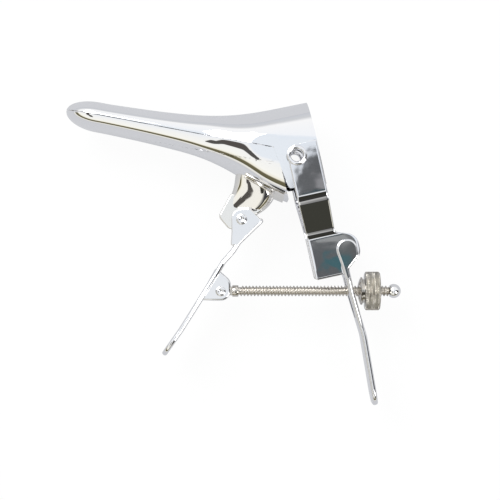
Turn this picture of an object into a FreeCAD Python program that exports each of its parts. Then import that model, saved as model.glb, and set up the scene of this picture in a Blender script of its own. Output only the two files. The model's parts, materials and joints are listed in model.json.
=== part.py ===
import FreeCAD, Part
import math
import os

from FreeCAD import Vector

os.makedirs("parts", exist_ok=True)

# Bivalve speculum of polished steel, lying on its side, in millimetres.
# The origin is the middle of the blade hinge. +Z runs along the hinge axis, +X along the
# clamping screw towards its ball end, and +Y from the finger levers up towards the blades.

# Blades, measured along the line where they meet
bill_slope = 10.7
seam_height = 1.87
seam_gap = 0.3
blade_wall = 1.2
blade_length = 109.9
tip_round_length = 15.0
bill_half_width = 13.5
mouth_half_width = 19.0
waist_distance = 45.0
flare_distance = 14.0
section_points = 13
side_bulge = 0.9
tip_room = 5.0
ear_leg = 24.0

# Height of each blade's back over the seam: bill stations counted from the tip, the rest
# from the hinge
upper_bill = [(19.9, 6.6), (36.4, 7.3)]
upper_heights = [(-57.0, 8.4), (-45.0, 9.8), (-36.0, 11.5), (-25.0, 14.6), (-13.6, 18.9),
                 (0.6, 24.7), (14.0, 29.8)]
lower_bill = [(19.9, 7.4), (36.4, 7.85)]
lower_heights = [(-57.0, 8.7), (-45.0, 9.9), (-36.0, 11.8), (-25.0, 15.4), (-13.6, 19.9),
                 (0.6, 23.3), (14.0, 26.5)]
tip_shares = [0.01, 0.07, 0.2, 0.42, 0.7]

# Hinge
ear_radius = 5.2
ear_gap = 0.15
eyelet_radius = 3.6
eyelet_bore_radius = 2.8
eyelet_flange_radius = 4.7
eyelet_flange_height = 1.1
eyelet_inner_gap = 0.3
running_clearance = 0.06
lower_rear_top = (-9.4, 3.4)
lower_rear_bottom = (-3.3, -18.6)
lower_rear_cut = [(-3.4, -20.2), (-8.0, -30.0)]
ear_front = 11.2
ear_low_front = (-3.6, -15.1)
ear_low = -15.5
mouth_reach = 10.5

# Yoke arms and bridge, in a frame that leans with the yoke
yoke_lean = 12.4
arm_thickness = 2.0
arm_left = -4.2
arm_low_left = -3.4
arm_right = 10.2
arm_crown = 4.8
arm_horn = 5.4
arm_top = 3.8
arm_bend_start = -20.5
arm_bend_end = -37.0
arm_bottom = -58.1
arm_inner_low = 8.5
arm_bend_radius = 1.6
joint_gap = 0.05
lug_center = (13.4, -47.4)
lug_radius = 6.4
bridge_left = 5.6
bridge_thickness = 2.6
bridge_top = -41.0

# Thumb handle, in the same leaning frame
handle_thickness = 2.5
handle_end = -121.2
handle_shoulder = -54.8
handle_bow = 1.6
handle_head_radius = 5.2
handle_cheek_gap = 0.2
handle_cheek = 2.2
handle_waist_half_width = 8.6
handle_end_half_width = 10.0
slot_half_width = 3.1
slot_low = -79.6
slot_high = -59.6
fold_pin_radius = 2.0

# Finger lever on the lower blade
lever_pin = (-25.3, -28.9)
lever_pin_radius = 1.7
lever_thickness = 2.4
lever_cheek = 2.2
lever_cheek_gap = 0.2
tongue_half_thickness = 4.0
neck_half_width = 8.5
lever_end_half_width = 9.5
lever_path = [(-16.4, -28.0), (-27.6, -38.8), (-30.4, -43.2), (-34.9, -48.2), (-37.8, -53.2),
              (-46.2, -66.6), (-54.8, -80.2), (-62.9, -91.7)]
lever_bend_radius = 3.0
lever_waist = [(-48.0, 20.0), (-66.0, 25.0)]
lever_tip_low = -92.6
lever_fork = [(-30.2, -24.3, 4.4), (-21.2, -24.1, 3.2), (-15.9, -29.4, 0.6),
              (-26.9, -41.2, 0.6), (-30.4, -41.2, 1.0), (-30.0, -35.0, 6.0)]
lever_lug = [(-37.4, -51.4), (-30.5, -57.6, 4.6), (-30.5, -67.3, 4.7),
             (-44.2, -67.6, 2.0), (-46.4, -67.2)]

# Neck: left and right edge and half thickness of its sections, then the tongue's outline
neck_sections = [((-27.4, -3.0), (-7.5, -12.5), 9.5), ((-28.3, -9.0), (-9.6, -18.0), 8.6),
                 ((-29.0, -13.6), (-12.0, -22.0), 7.0), ((-30.6, -18.2), (-15.2, -25.0), 5.4),
                 ((-32.6, -21.8), (-18.6, -27.0), 4.2)]
neck_section_points = 20
neck_squareness = 0.75
tongue_outline = [(-30.4, -17.0), (-36.3, -27.6, 2.6), (-31.4, -33.4, 3.2), (-24.8, -33.6, 4.2),
                  (-18.9, -26.9, 1.2), (-15.2, -24.8), (-22.0, -17.0)]
lever_room = [(-16.4, -23.6), (-13.4, -27.2), (-26.0, -42.0), (-33.0, -38.0),
              (-34.2, -30.5), (-30.4, -23.2), (-22.8, -21.3)]
saddle_thickness = 1.0
saddle_region = [(-26.5, -8.0), (-19.1, -10.9, 1.0), (-3.5, -18.2, 0.8), (-4.2, -21.4, 1.4),
                 (-12.0, -32.0), (-30.0, -22.0)]

# Clamping screw
screw_height = -62.5
pivot_x = -35.1
pivot_pin_radius = 1.5
pivot_lug_radius = 4.8
pivot_lug = 3.0
eye_radius = 3.8
eye_half_thickness = 2.0
screw_radius = 2.5
shoulder_radius = 2.7
shoulder_length = 3.0
screw_end = 44.0
ball_radius = 3.3
ball_spigot_radius = 1.4
ball_spigot_length = 2.4
collar_start = 29.0
collar_length = 3.3
collar_radius = 6.6
collar_dome_radius = 14.4
nut_gap = 0.1
nut_length = 7.2
nut_radius = 9.1
nut_chamfer = 0.6
pin_head_height = 0.7
pin_head_extra = 0.9
lug_play = 0.3
eye_play = 0.5
reach = 300.0

ear_outer = mouth_half_width
ear_inner = ear_outer - blade_wall
lower_mouth_half_width = ear_inner - ear_gap
arm_inner_high = ear_outer + joint_gap
arm_outer_high = arm_inner_high + arm_thickness
arm_outer_low = arm_inner_low + arm_thickness
cheek_inner = arm_outer_low + handle_cheek_gap
cheek_outer = cheek_inner + handle_cheek
handle_inner_face = arm_right + joint_gap
lever_cheek_inner = tongue_half_thickness + lever_cheek_gap
lever_cheek_outer = lever_cheek_inner + lever_cheek


def outline(corners):
    """Closed wire in the XY plane through (x, y, radius) corners, each rounded by an arc."""
    edges = []
    starts = []
    ends = []
    count = len(corners)
    for index in range(count):
        before = Vector(*corners[index - 1][:2], 0)
        corner = Vector(*corners[index][:2], 0)
        after = Vector(*corners[(index + 1) % count][:2], 0)
        radius = corners[index][2] if len(corners[index]) > 2 else 0.0
        to_before = (before - corner).normalize()
        to_after = (after - corner).normalize()
        opening = to_before.getAngle(to_after)
        if radius <= 0 or opening > math.pi - 1e-6:
            starts.append(corner)
            ends.append(corner)
            continue
        setback = radius / math.tan(opening / 2)
        middle = (to_before + to_after).normalize()
        center = corner + middle * (radius / math.sin(opening / 2))
        starts.append(corner + to_before * setback)
        ends.append(corner + to_after * setback)
        top = center - middle * radius
        edges.append((index, Part.Arc(starts[-1], top, ends[-1]).toShape()))
    arcs = dict(edges)
    ordered = []
    for index in range(count):
        if index in arcs:
            ordered.append(arcs[index])
        following = (index + 1) % count
        if (starts[following] - ends[index]).Length > 1e-6:
            ordered.append(Part.LineSegment(ends[index], starts[following]).toShape())
    return Part.Wire(ordered)


def prism(corners, low, high):
    """Plate with the given outline between two heights along Z."""
    face = Part.Face(outline(corners))
    face.translate(Vector(0, 0, low))
    return face.extrude(Vector(0, 0, high - low))


def side_prism(corners, low, high):
    """Plate whose outline is given as (z, y, radius) corners, between two places along X."""
    plate = prism(corners, low, high)
    plate.rotate(Vector(0, 0, 0), Vector(0, 1, 0), 90)
    return plate


def band(path, thickness, bend_radius):
    """Corners of a strip of even thickness to the left of a path, with rounded bends."""
    near = []
    far = []
    for index, point in enumerate(path):
        here = Vector(*point, 0)
        if index == 0:
            turn_in = turn_out = (Vector(*path[1], 0) - here).normalize()
        elif index == len(path) - 1:
            turn_in = turn_out = (here - Vector(*path[index - 1], 0)).normalize()
        else:
            turn_in = (here - Vector(*path[index - 1], 0)).normalize()
            turn_out = (Vector(*path[index + 1], 0) - here).normalize()
        normal_in = Vector(-turn_in.y, turn_in.x, 0)
        normal_out = Vector(-turn_out.y, turn_out.x, 0)
        mitre = (normal_in + normal_out).normalize()
        stretch = thickness / max(mitre.dot(normal_in), 0.3)
        left_turn = turn_in.cross(turn_out).z > 0
        inside = bend_radius
        outside = bend_radius + thickness
        ends = index in (0, len(path) - 1)
        near_radius = 0.0 if ends else (outside if left_turn else inside)
        far_radius = 0.0 if ends else (inside if left_turn else outside)
        near.append((here.x, here.y, near_radius))
        far_point = here + mitre * stretch
        far.append((far_point.x, far_point.y, far_radius))
    return near + far[::-1]


def rod(radius, low, high, x=0.0, y=0.0):
    """Cylinder along Z between two heights."""
    return Part.makeCylinder(radius, high - low, Vector(x, y, low), Vector(0, 0, 1))


def bar(radius, start, end):
    """Cylinder along the clamping screw's axis between two places along X."""
    return Part.makeCylinder(radius, end - start, Vector(start, screw_height, 0), Vector(1, 0, 0))


def mirrored(shape):
    """The same piece on the other side of the middle plane."""
    return shape.mirror(Vector(0, 0, 0), Vector(0, 0, 1))


def lean(shape):
    """Turn a piece from the yoke's own upright frame to its place."""
    placed = shape.copy()
    placed.rotate(Vector(0, 0, 0), Vector(0, 0, 1), yoke_lean)
    return placed


def leaned(point):
    """A point of the yoke's own upright frame in the part's frame."""
    angle = math.radians(yoke_lean)
    return (point[0] * math.cos(angle) - point[1] * math.sin(angle),
            point[0] * math.sin(angle) + point[1] * math.cos(angle))


def blade_half_width(station, mouth):
    """Half the blade's width: even along the bill, then a smooth flare to the mouth."""
    share = (station + waist_distance) / (waist_distance - flare_distance)
    share = min(max(share, 0.0), 1.0)
    smooth = share * share * (3 - 2 * share)
    return bill_half_width + (mouth - bill_half_width) * smooth


def dish_section(station, half_width, height, leg):
    """Domed section of a blade with straight legs past the seam."""
    points = []
    for index in range(section_points):
        angle = math.pi * index / (section_points - 1)
        points.append(Vector(station, height * math.sin(angle), half_width * math.cos(angle)))
    crown = Part.BSplineCurve()
    crown.interpolate(points)
    low_right = points[0] - Vector(0, leg, 0)
    low_left = points[-1] - Vector(0, leg, 0)
    return Part.Wire([crown.toShape(),
                      Part.LineSegment(points[-1], low_left).toShape(),
                      Part.LineSegment(low_left, low_right).toShape(),
                      Part.LineSegment(low_right, points[0]).toShape()])


def dish(bill, heights, mouth, inset):
    """Solid under a blade's back, set in from the outer surface, with flat sides at the ears."""
    tip = -blade_length + inset
    first_height = bill[0][1] - inset
    first_width = bill_half_width - inset
    leg = ear_leg + inset
    sections = []
    for share in tip_shares:
        grown = math.sqrt(1 - (1 - share) ** 2)
        sections.append(dish_section(tip + share * tip_round_length,
                                     first_width * grown, first_height * grown, leg))
    stations = [(distance - blade_length, height) for distance, height in bill]
    for station, height in stations + heights:
        half_width = blade_half_width(station, mouth + side_bulge) - inset
        sections.append(dish_section(station, half_width, height - inset, leg))
    flat = mouth - inset
    slab = Part.makeBox(2 * reach, 2 * reach, 2 * flat, Vector(-reach, -reach, -flat))
    return Part.makeLoft(sections, True, False).common(slab)


def place_blade(shape):
    """Turn a blade from the seam's frame to its slope over the hinge."""
    placed = shape.copy()
    placed.translate(Vector(0, seam_height, 0))
    placed.rotate(Vector(0, 0, 0), Vector(0, 0, 1), -bill_slope)
    return placed


def seam_point(station, height=0.0):
    """A point over the seam, in the part's frame."""
    angle = -math.radians(bill_slope)
    y = seam_height + height
    return (station * math.cos(angle) - y * math.sin(angle),
            station * math.sin(angle) + y * math.cos(angle))


def upper_blade():
    """Upper blade: a hollow bill that flares to the mouth, with a flat ear at each hinge."""
    shell = dish(upper_bill, upper_heights, mouth_half_width, 0.0)
    shell = place_blade(shell.cut(dish(upper_bill, upper_heights, mouth_half_width, blade_wall)))
    edge = seam_gap / 2
    side_view = [seam_point(-blade_length - tip_room, edge),
                 (*seam_point(-ear_front, edge), 1.2),
                 (*ear_low_front, 1.5),
                 (*leaned((mouth_reach, ear_low)), 3.0),
                 leaned((mouth_reach, reach)),
                 seam_point(-blade_length - tip_room, reach)]
    blade = shell.common(prism(side_view, -reach, reach))
    return blade.cut(rod(eyelet_radius + running_clearance, -reach, reach))


def lower_form(inset):
    """Form of the lower blade, set in from its outer surface, or out from it below zero."""
    solid = dish(lower_bill, lower_heights, lower_mouth_half_width, inset)
    return place_blade(solid.mirror(Vector(0, 0, 0), Vector(0, 1, 0)))


def lower_blade():
    """Lower blade: a deeper bill whose ears lie just inside the upper blade's."""
    shell = lower_form(0.0).cut(lower_form(blade_wall))
    edge = -seam_gap / 2
    top = Vector(*lower_rear_top, 0)
    waist = (top + Vector(*lower_rear_bottom, 0)) * 0.5
    side_view = [seam_point(-blade_length - tip_room, edge),
                 (*seam_point(-flare_distance + 1.0, edge), 1.5),
                 (-ear_radius, ear_radius, ear_radius * 0.6),
                 (ear_radius, ear_radius, ear_radius * 0.95),
                 (ear_radius, -ear_radius, ear_radius * 0.95),
                 (waist.x, waist.y, 2.0),
                 (*lower_rear_bottom, 1.5),
                 (*lower_rear_cut[0], 2.0),
                 lower_rear_cut[1],
                 seam_point(-blade_length - tip_room, -reach)]
    blade = shell.common(prism(side_view, -reach, reach))
    return blade.cut(rod(eyelet_radius + running_clearance, -reach, reach))


def hinge_eyelet():
    """Hollow rivet through the arm and both ears, rolled over at each end."""
    inner_face = lower_mouth_half_width - blade_wall - eyelet_inner_gap
    low = inner_face - eyelet_flange_height
    high = arm_outer_high + eyelet_flange_height
    barrel = rod(eyelet_radius, low, high)
    outer_flange = rod(eyelet_flange_radius, arm_outer_high + joint_gap, high)
    inner_flange = rod(eyelet_flange_radius, low, inner_face)
    eyelet = barrel.fuse([outer_flange, inner_flange]).removeSplitter()
    rims = [edge for edge in eyelet.Edges
            if abs(edge.Length - 2 * math.pi * eyelet_flange_radius) < 0.01
            and (abs(edge.CenterOfMass.z - high) < 0.01 or abs(edge.CenterOfMass.z - low) < 0.01)]
    eyelet = eyelet.makeFillet(eyelet_flange_height * 0.6, rims)
    return eyelet.cut(rod(eyelet_bore_radius, low - 1, high + 1))


def arm_outline():
    """Outline of a yoke arm: round at the hinge, straight sides, and a lug for the handle."""
    lug_x, lug_y = lug_center
    lug_corner = lug_radius * 0.95
    return [(arm_left, arm_crown, arm_crown - 0.2), (arm_crown, arm_crown, 2.0),
            (arm_right, arm_horn, 0.4), (arm_right, lug_y + lug_radius + 3.0, 2.0),
            (lug_x + lug_radius, lug_y + lug_radius, lug_corner),
            (lug_x + lug_radius, lug_y - lug_radius, lug_corner),
            (arm_right, lug_y - lug_radius, 0.3),
            (arm_right, arm_bottom, 0.5), (arm_low_left, arm_bottom, 1.2),
            (arm_low_left, arm_bend_end, 2.0), (arm_left, arm_bend_start, 2.0)]


def yoke_arm():
    """Near yoke arm: a flat strap that steps in from the blade to the handle."""
    path = [(arm_top + 6.0, arm_inner_high), (arm_bend_start, arm_inner_high),
            (arm_bend_end, arm_inner_low), (arm_bottom - 5.0, arm_inner_low)]
    corners = band([(-y, z) for y, z in path], arm_thickness, arm_bend_radius)
    strap = prism([(corner[0], corner[1], corner[2]) for corner in corners], -40.0, 40.0)
    strap.rotate(Vector(0, 0, 0), Vector(1, 0, 0), 90)
    strap.rotate(Vector(0, 0, 0), Vector(0, 0, 1), -90)
    shaped = strap.common(prism(arm_outline(), 0.0, 40.0))
    hinge_hole = rod(eyelet_radius + running_clearance, 0.0, 40.0)
    pin_hole = rod(fold_pin_radius + running_clearance, 0.0, 40.0, *lug_center)
    return lean(shaped.cut(hinge_hole).cut(pin_hole))


def yoke_bridge():
    """Cross plate brazed between the two arms, in front of the handle."""
    edge = arm_inner_low - joint_gap
    plate = Part.makeBox(bridge_thickness, bridge_top - arm_bottom, 2 * edge,
                         Vector(bridge_left, arm_bottom, -edge))
    long_edges = [e for e in plate.Edges if abs(e.Length - 2 * edge) < 0.01]
    return lean(plate.makeFillet(0.9, long_edges))


def handle_profile():
    """Edge-on strip of the thumb handle, bowed a little away from the screw."""
    middle = (handle_shoulder + handle_end) / 2
    path = [(handle_inner_face, handle_shoulder), (handle_inner_face, handle_shoulder - 12.0),
            (handle_inner_face + handle_bow, middle), (handle_inner_face, handle_end)]
    return band(path, handle_thickness, 30.0)


def thumb_handle():
    """Thumb handle: a slotted plate whose fork holds the yoke's lugs."""
    strip = prism(handle_profile(), -40.0, 40.0)
    end = handle_end_half_width
    waist = handle_waist_half_width
    half = [(cheek_outer, handle_shoulder + 4.0), (cheek_outer, handle_shoulder - 6.0, 8.0),
            (waist, slot_low - 3.0, 25.0), (end, handle_end, end * 0.75)]
    width = half + [(-z, y, *rest) for z, y, *rest in half[::-1]]
    plate = strip.common(side_prism(width, -60.0, 60.0))
    slot_round = slot_half_width * 0.98
    slot = side_prism([(slot_half_width, slot_high, slot_round),
                       (slot_half_width, slot_low, slot_round),
                       (-slot_half_width, slot_low, slot_round),
                       (-slot_half_width, slot_high, slot_round)], -60.0, 60.0)
    plate = plate.cut(slot)
    head_x, head_y = lug_center
    radius = handle_head_radius
    cheek_outline = [(head_x - radius, head_y + radius, radius * 0.88),
                     (head_x + radius, head_y + radius, radius * 0.88),
                     (head_x + radius, head_y - 3.4, 3.5),
                     (handle_inner_face + handle_thickness, handle_shoulder - 1.0, 2.0),
                     (handle_inner_face + handle_thickness, handle_shoulder - 6.0),
                     (handle_inner_face, handle_shoulder - 6.0),
                     (handle_inner_face - 0.6, handle_shoulder + 2.0, 4.0)]
    cheek = prism(cheek_outline, cheek_inner, cheek_outer)
    handle = plate.fuse([cheek, mirrored(cheek)])
    handle = handle.cut(rod(fold_pin_radius + running_clearance, -40.0, 40.0, *lug_center))
    return lean(handle.removeSplitter())


def fold_pin():
    """Plain pin through the handle's fork and the yoke's lugs, flush at both ends."""
    pin = rod(fold_pin_radius, -cheek_outer, cheek_outer, *lug_center)
    return lean(pin.makeFillet(0.3, [e for e in pin.Edges if len(e.Vertexes) == 1]))


def neck_section(left, right, half_thickness):
    """Rounded section of the neck between two edge points in the side view."""
    left, right = Vector(*left, 0), Vector(*right, 0)
    middle = (left + right) * 0.5
    arm = (right - left) * 0.5
    points = []
    for index in range(neck_section_points):
        angle = 2 * math.pi * index / neck_section_points
        along = math.copysign(abs(math.cos(angle)) ** neck_squareness, math.cos(angle))
        across = math.copysign(abs(math.sin(angle)) ** neck_squareness, math.sin(angle))
        points.append(middle + arm * along + Vector(0, 0, half_thickness * across))
    curve = Part.BSplineCurve()
    curve.interpolate(points, PeriodicFlag=True)
    return Part.Wire([curve.toShape()])


def blade_neck():
    """Forged neck: a saddle brazed under the lower blade, drawn down to the lever's tongue."""
    body = Part.makeLoft([neck_section(*section) for section in neck_sections], True, False)
    tongue = prism(tongue_outline, -tongue_half_thickness, tongue_half_thickness)
    saddle = lower_form(-saddle_thickness).common(prism(saddle_region, -reach, reach))
    neck = body.fuse([tongue, saddle]).cut(lower_form(0.0))
    neck = neck.cut(rod(lever_pin_radius + running_clearance, -reach, reach, *lever_pin))
    room = prism(lever_room, tongue_half_thickness, reach)
    neck = neck.cut(room).cut(mirrored(room))
    return max(neck.Solids, key=lambda solid: solid.Volume)


def finger_lever():
    """Finger lever: a bent strip with a fork for the neck and two lugs for the screw."""
    strip = prism(band(lever_path, lever_thickness, lever_bend_radius), -reach, reach)
    top = lever_cheek_outer
    end = lever_end_half_width
    (waist_y, waist_radius), (flare_y, flare_radius) = lever_waist
    half = [(top, 0.0), (top, waist_y, waist_radius), (end, flare_y, flare_radius),
            (end, lever_tip_low, end * 0.8)]
    width = half + [(-z, y, *rest) for z, y, *rest in half[::-1]]
    plate = strip.common(side_prism(width, -reach, reach))
    cheek = prism(lever_fork, lever_cheek_inner, lever_cheek_outer)
    lug_low = eye_half_thickness + lug_play
    lug = prism(lever_lug, lug_low, lug_low + pivot_lug)
    lever = plate.fuse([cheek, mirrored(cheek), lug, mirrored(lug)])
    lever = lever.cut(rod(lever_pin_radius + running_clearance, -reach, reach, *lever_pin))
    lever = lever.cut(rod(pivot_pin_radius + running_clearance, -reach, reach,
                          pivot_x, screw_height))
    return lever.removeSplitter()


def headed_pin(radius, half_length, x, y):
    """Pin along Z with a low rounded head at each end."""
    stem = rod(radius, -half_length, half_length, x, y)
    top = half_length + joint_gap
    head = rod(radius + pin_head_extra, top, top + pin_head_height, x, y)
    rim = [e for e in head.Edges if abs(e.CenterOfMass.z - top - pin_head_height) < 0.01]
    head = head.makeFillet(pin_head_height * 0.6, rim)
    joined = rod(radius, 0.0, top + pin_head_height / 2, x, y)
    return stem.fuse([head, mirrored(head), joined, mirrored(joined)]).removeSplitter()


def screw_rod():
    """Clamping screw: flat eye, plain shoulder and a long rod as wide as its thread."""
    eye = rod(eye_radius, -eye_half_thickness, eye_half_thickness, pivot_x, screw_height)
    shoulder_start = pivot_x + pivot_lug_radius + eye_play
    flat = Part.makeBox(shoulder_start - pivot_x + 0.5, 2 * eye_half_thickness,
                        2 * eye_half_thickness,
                        Vector(pivot_x, screw_height - eye_half_thickness, -eye_half_thickness))
    shoulder = bar(shoulder_radius, shoulder_start, shoulder_start + shoulder_length)
    stem = bar(screw_radius, shoulder_start + shoulder_length / 2, screw_end)
    spigot = bar(ball_spigot_radius, screw_end - 1.0, screw_end + ball_spigot_length)
    screw = eye.fuse([flat, shoulder, stem, spigot]).removeSplitter()
    return screw.cut(rod(pivot_pin_radius + running_clearance, -40.0, 40.0,
                         pivot_x, screw_height))


def screw_ball():
    """Ball end that keeps the nut from running off the screw."""
    center = screw_end + math.sqrt(ball_radius ** 2 - screw_radius ** 2) * 0.98 + joint_gap
    ball = Part.makeSphere(ball_radius, Vector(center, screw_height, 0))
    face = Part.makeBox(20.0, 40.0, 40.0, Vector(screw_end + joint_gap - 20.0,
                                                 screw_height - 20.0, -20.0))
    socket = bar(ball_spigot_radius + running_clearance, screw_end - 5.0,
                 screw_end + ball_spigot_length + joint_gap)
    return ball.cut(face).cut(socket)


def pressure_collar():
    """Domed collar that bears on the thumb handle at any angle of the screw."""
    end = collar_start + collar_length
    blank = bar(collar_radius, collar_start, end)
    dome = Part.makeSphere(collar_dome_radius,
                           Vector(collar_start + collar_dome_radius, screw_height, 0))
    rear = bar(collar_radius - 0.9, end - 0.9, end)
    body = blank.common(dome)
    groove = bar(collar_radius + 1.0, end - 0.9, end + 1.0).cut(rear)
    return body.cut(groove).cut(bar(screw_radius + running_clearance, 0.0, 60.0))


def knurled_nut():
    """Round nut, chamfered at both faces."""
    start = collar_start + collar_length + nut_gap
    nut = bar(nut_radius, start, start + nut_length)
    rims = [e for e in nut.Edges if len(e.Vertexes) == 1]
    nut = nut.makeChamfer(nut_chamfer, rims)
    return nut.cut(bar(screw_radius + running_clearance, 0.0, 60.0))


nodes = {
    "upper_blade": upper_blade(),
    "lower_blade": lower_blade(),
    "hinge_eyelet_near": hinge_eyelet(),
    "hinge_eyelet_far": mirrored(hinge_eyelet()),
    "yoke_arm_near": yoke_arm(),
    "yoke_arm_far": mirrored(yoke_arm()),
    "yoke_bridge": yoke_bridge(),
    "thumb_handle": thumb_handle(),
    "handle_fold_pin": fold_pin(),
    "blade_neck": blade_neck(),
    "finger_lever": finger_lever(),
    "lever_fold_pin": headed_pin(lever_pin_radius, lever_cheek_outer, *lever_pin),
    "screw_pivot_pin": headed_pin(pivot_pin_radius, eye_half_thickness + lug_play + pivot_lug,
                                  pivot_x, screw_height),
    "screw_rod": screw_rod(),
    "screw_ball": screw_ball(),
    "pressure_collar": pressure_collar(),
    "knurled_nut": knurled_nut(),
}

for name, shape in nodes.items():
    print(name, "valid", shape.isValid(), "solids", len(shape.Solids),
          "volume", round(shape.Volume, 2))
    shape.exportStep(os.path.join("parts", name + ".step"))
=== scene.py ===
"""Studio scene of a bivalve speculum of polished steel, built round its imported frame."""

import json
import logging
import math
from dataclasses import dataclass
from enum import Enum
from typing import Callable, Sequence, Union

import bmesh
import bpy
import numpy as np
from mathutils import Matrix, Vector

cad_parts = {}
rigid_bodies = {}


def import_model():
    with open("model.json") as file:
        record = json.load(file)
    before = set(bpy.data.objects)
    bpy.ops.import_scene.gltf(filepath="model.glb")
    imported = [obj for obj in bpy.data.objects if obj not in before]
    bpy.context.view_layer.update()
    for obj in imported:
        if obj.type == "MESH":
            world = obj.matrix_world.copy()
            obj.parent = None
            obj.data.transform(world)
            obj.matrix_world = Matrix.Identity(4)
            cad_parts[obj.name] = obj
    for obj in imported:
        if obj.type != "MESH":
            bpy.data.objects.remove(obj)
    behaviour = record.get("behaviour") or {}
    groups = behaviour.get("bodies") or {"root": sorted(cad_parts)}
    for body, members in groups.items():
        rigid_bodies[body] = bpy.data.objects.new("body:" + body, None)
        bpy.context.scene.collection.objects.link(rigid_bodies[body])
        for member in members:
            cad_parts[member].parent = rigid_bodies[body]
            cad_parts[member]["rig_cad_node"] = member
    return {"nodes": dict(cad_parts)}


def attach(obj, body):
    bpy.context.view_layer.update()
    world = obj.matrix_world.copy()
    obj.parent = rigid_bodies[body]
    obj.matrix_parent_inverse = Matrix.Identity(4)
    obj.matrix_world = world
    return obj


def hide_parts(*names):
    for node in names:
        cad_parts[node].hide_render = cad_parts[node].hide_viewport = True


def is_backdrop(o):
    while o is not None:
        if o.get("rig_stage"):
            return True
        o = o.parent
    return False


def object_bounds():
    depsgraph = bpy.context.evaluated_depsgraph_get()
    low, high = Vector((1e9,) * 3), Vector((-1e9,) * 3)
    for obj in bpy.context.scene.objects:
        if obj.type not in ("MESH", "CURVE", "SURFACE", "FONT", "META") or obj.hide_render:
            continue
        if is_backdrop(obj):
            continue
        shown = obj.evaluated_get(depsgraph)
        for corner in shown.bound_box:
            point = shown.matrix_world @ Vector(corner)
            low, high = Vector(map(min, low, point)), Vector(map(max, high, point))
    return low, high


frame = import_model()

Feed = Union[bpy.types.NodeSocket, float, tuple]
Point = tuple[float, float]

LOG = logging.getLogger("speculum")
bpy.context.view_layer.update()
MILLIMETRE = 0.001

# Side of the photograph in pixels, and the hinge's place in it
PHOTO_SIDE = 500
PHOTO_HINGE = (297.0, 155.0)
# Height of the hinge's near face, which that place was read from
HINGE_NEAR_FACE = 22.0
# Scale in the plane of the screw, and height of the camera over it
MILLIMETRES_PER_PIXEL = 0.47
CAMERA_DISTANCE = 700.0
# Lean of the yoke and the thumb handle, in degrees
YOKE_LEAN = 12.4
# Radius at which a turned piece closes on its axis
AXIS = 0.01
# Share of half its width at which a strip's end is rounded into an arc
NEARLY_ROUND = 0.98
# A corner whose edges turn by less than this, in radians, is straight
STRAIGHT = 1e-4
# Half the width that a strip keeps where its outline isn't met
MISSED_SPAN = 0.01
# Least share that a mitre is measured by, so that a sharp corner doesn't run away
LEAST_MITRE = 0.3
# Smudges on the metal: scale of their noise, least roughness left, and colour of the grime
SMUDGE_SCALE = 90.0
LEAST_ROUGHNESS = 0.015
GRIME_COLOR = (0.10, 0.085, 0.06)
# Points nearer than this, in metres, are one point
MERGE_DISTANCE = 1e-7


class Body(Enum):
    """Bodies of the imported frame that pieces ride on."""

    FRAME = "upper_frame"
    JAW = "lower_jaw"
    SCREW = "screw"
    COLLAR = "collar"
    NUT = "nut"


class Side(Enum):
    """Side of the part; the value is the sign of its Z."""

    NEAR = 1
    FAR = -1


class Half(Enum):
    """Which blade a piece belongs to; the value is the side of the seam it lies on."""

    UPPER = 1
    LOWER = -1


def new_object(name: str, vertices: Sequence, faces: Sequence,
               smooth_angle: float = 40.0) -> bpy.types.Object:
    """Make a mesh object from points in millimetres.

    Args:
        name: Name of the object and its mesh.
        vertices: Points in the part's frame, in millimetres.
        faces: Lists of point indices.
        smooth_angle: Edges sharper than this, in degrees, stay hard.

    Returns:
        The object, linked to the scene.
    """
    mesh = bpy.data.meshes.new(name)
    points = np.asarray(vertices, float) * MILLIMETRE
    mesh.from_pydata(points.tolist(), [], [tuple(int(i) for i in face) for face in faces])
    mesh.validate()
    shape = bmesh.new()
    shape.from_mesh(mesh)
    bmesh.ops.remove_doubles(shape, verts=shape.verts, dist=MERGE_DISTANCE)
    bmesh.ops.recalc_face_normals(shape, faces=shape.faces)
    limit = math.radians(smooth_angle)
    for face in shape.faces:
        face.smooth = True
    for edge in shape.edges:
        edge.smooth = len(edge.link_faces) == 2 and edge.calc_face_angle(0.0) < limit
    shape.to_mesh(mesh)
    shape.free()
    piece = bpy.data.objects.new(name, mesh)
    bpy.context.scene.collection.objects.link(piece)
    return piece


def grid_faces(rows: int, columns: int, closed: bool = False) -> list[tuple[int, int, int, int]]:
    """Quads over a grid of points stored row by row.

    Args:
        rows: Number of rows.
        columns: Points in a row.
        closed: Join the last column to the first.

    Returns:
        Point indices of each quad.
    """
    faces = []
    span = columns if closed else columns - 1
    for row in range(rows - 1):
        for column in range(span):
            following = (column + 1) % columns
            faces.append((row * columns + column, row * columns + following,
                          (row + 1) * columns + following, (row + 1) * columns + column))
    return faces


def tube_faces(rows: int, around: int) -> list[tuple[int, ...]]:
    """Faces of a tube of rings with a cap at each end.

    Args:
        rows: Number of rings.
        around: Points in a ring.

    Returns:
        Point indices of each face.
    """
    first = tuple(range(around))[::-1]
    last = tuple((rows - 1) * around + i for i in range(around))
    return grid_faces(rows, around, closed=True) + [first, last]


def prism_faces(count: int) -> list[tuple[int, ...]]:
    """Faces of a prism stored as its lower outline and then its upper one.

    Args:
        count: Points in an outline.

    Returns:
        Point indices of each face.
    """
    faces = [tuple(range(count))[::-1], tuple(range(count, 2 * count))]
    return faces + [(i, (i + 1) % count, count + (i + 1) % count, count + i) for i in range(count)]


def eased(share: np.ndarray) -> np.ndarray:
    """Share from 0 to 1 with a soft start and a soft end."""
    return share * share * (3 - 2 * share)


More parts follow.
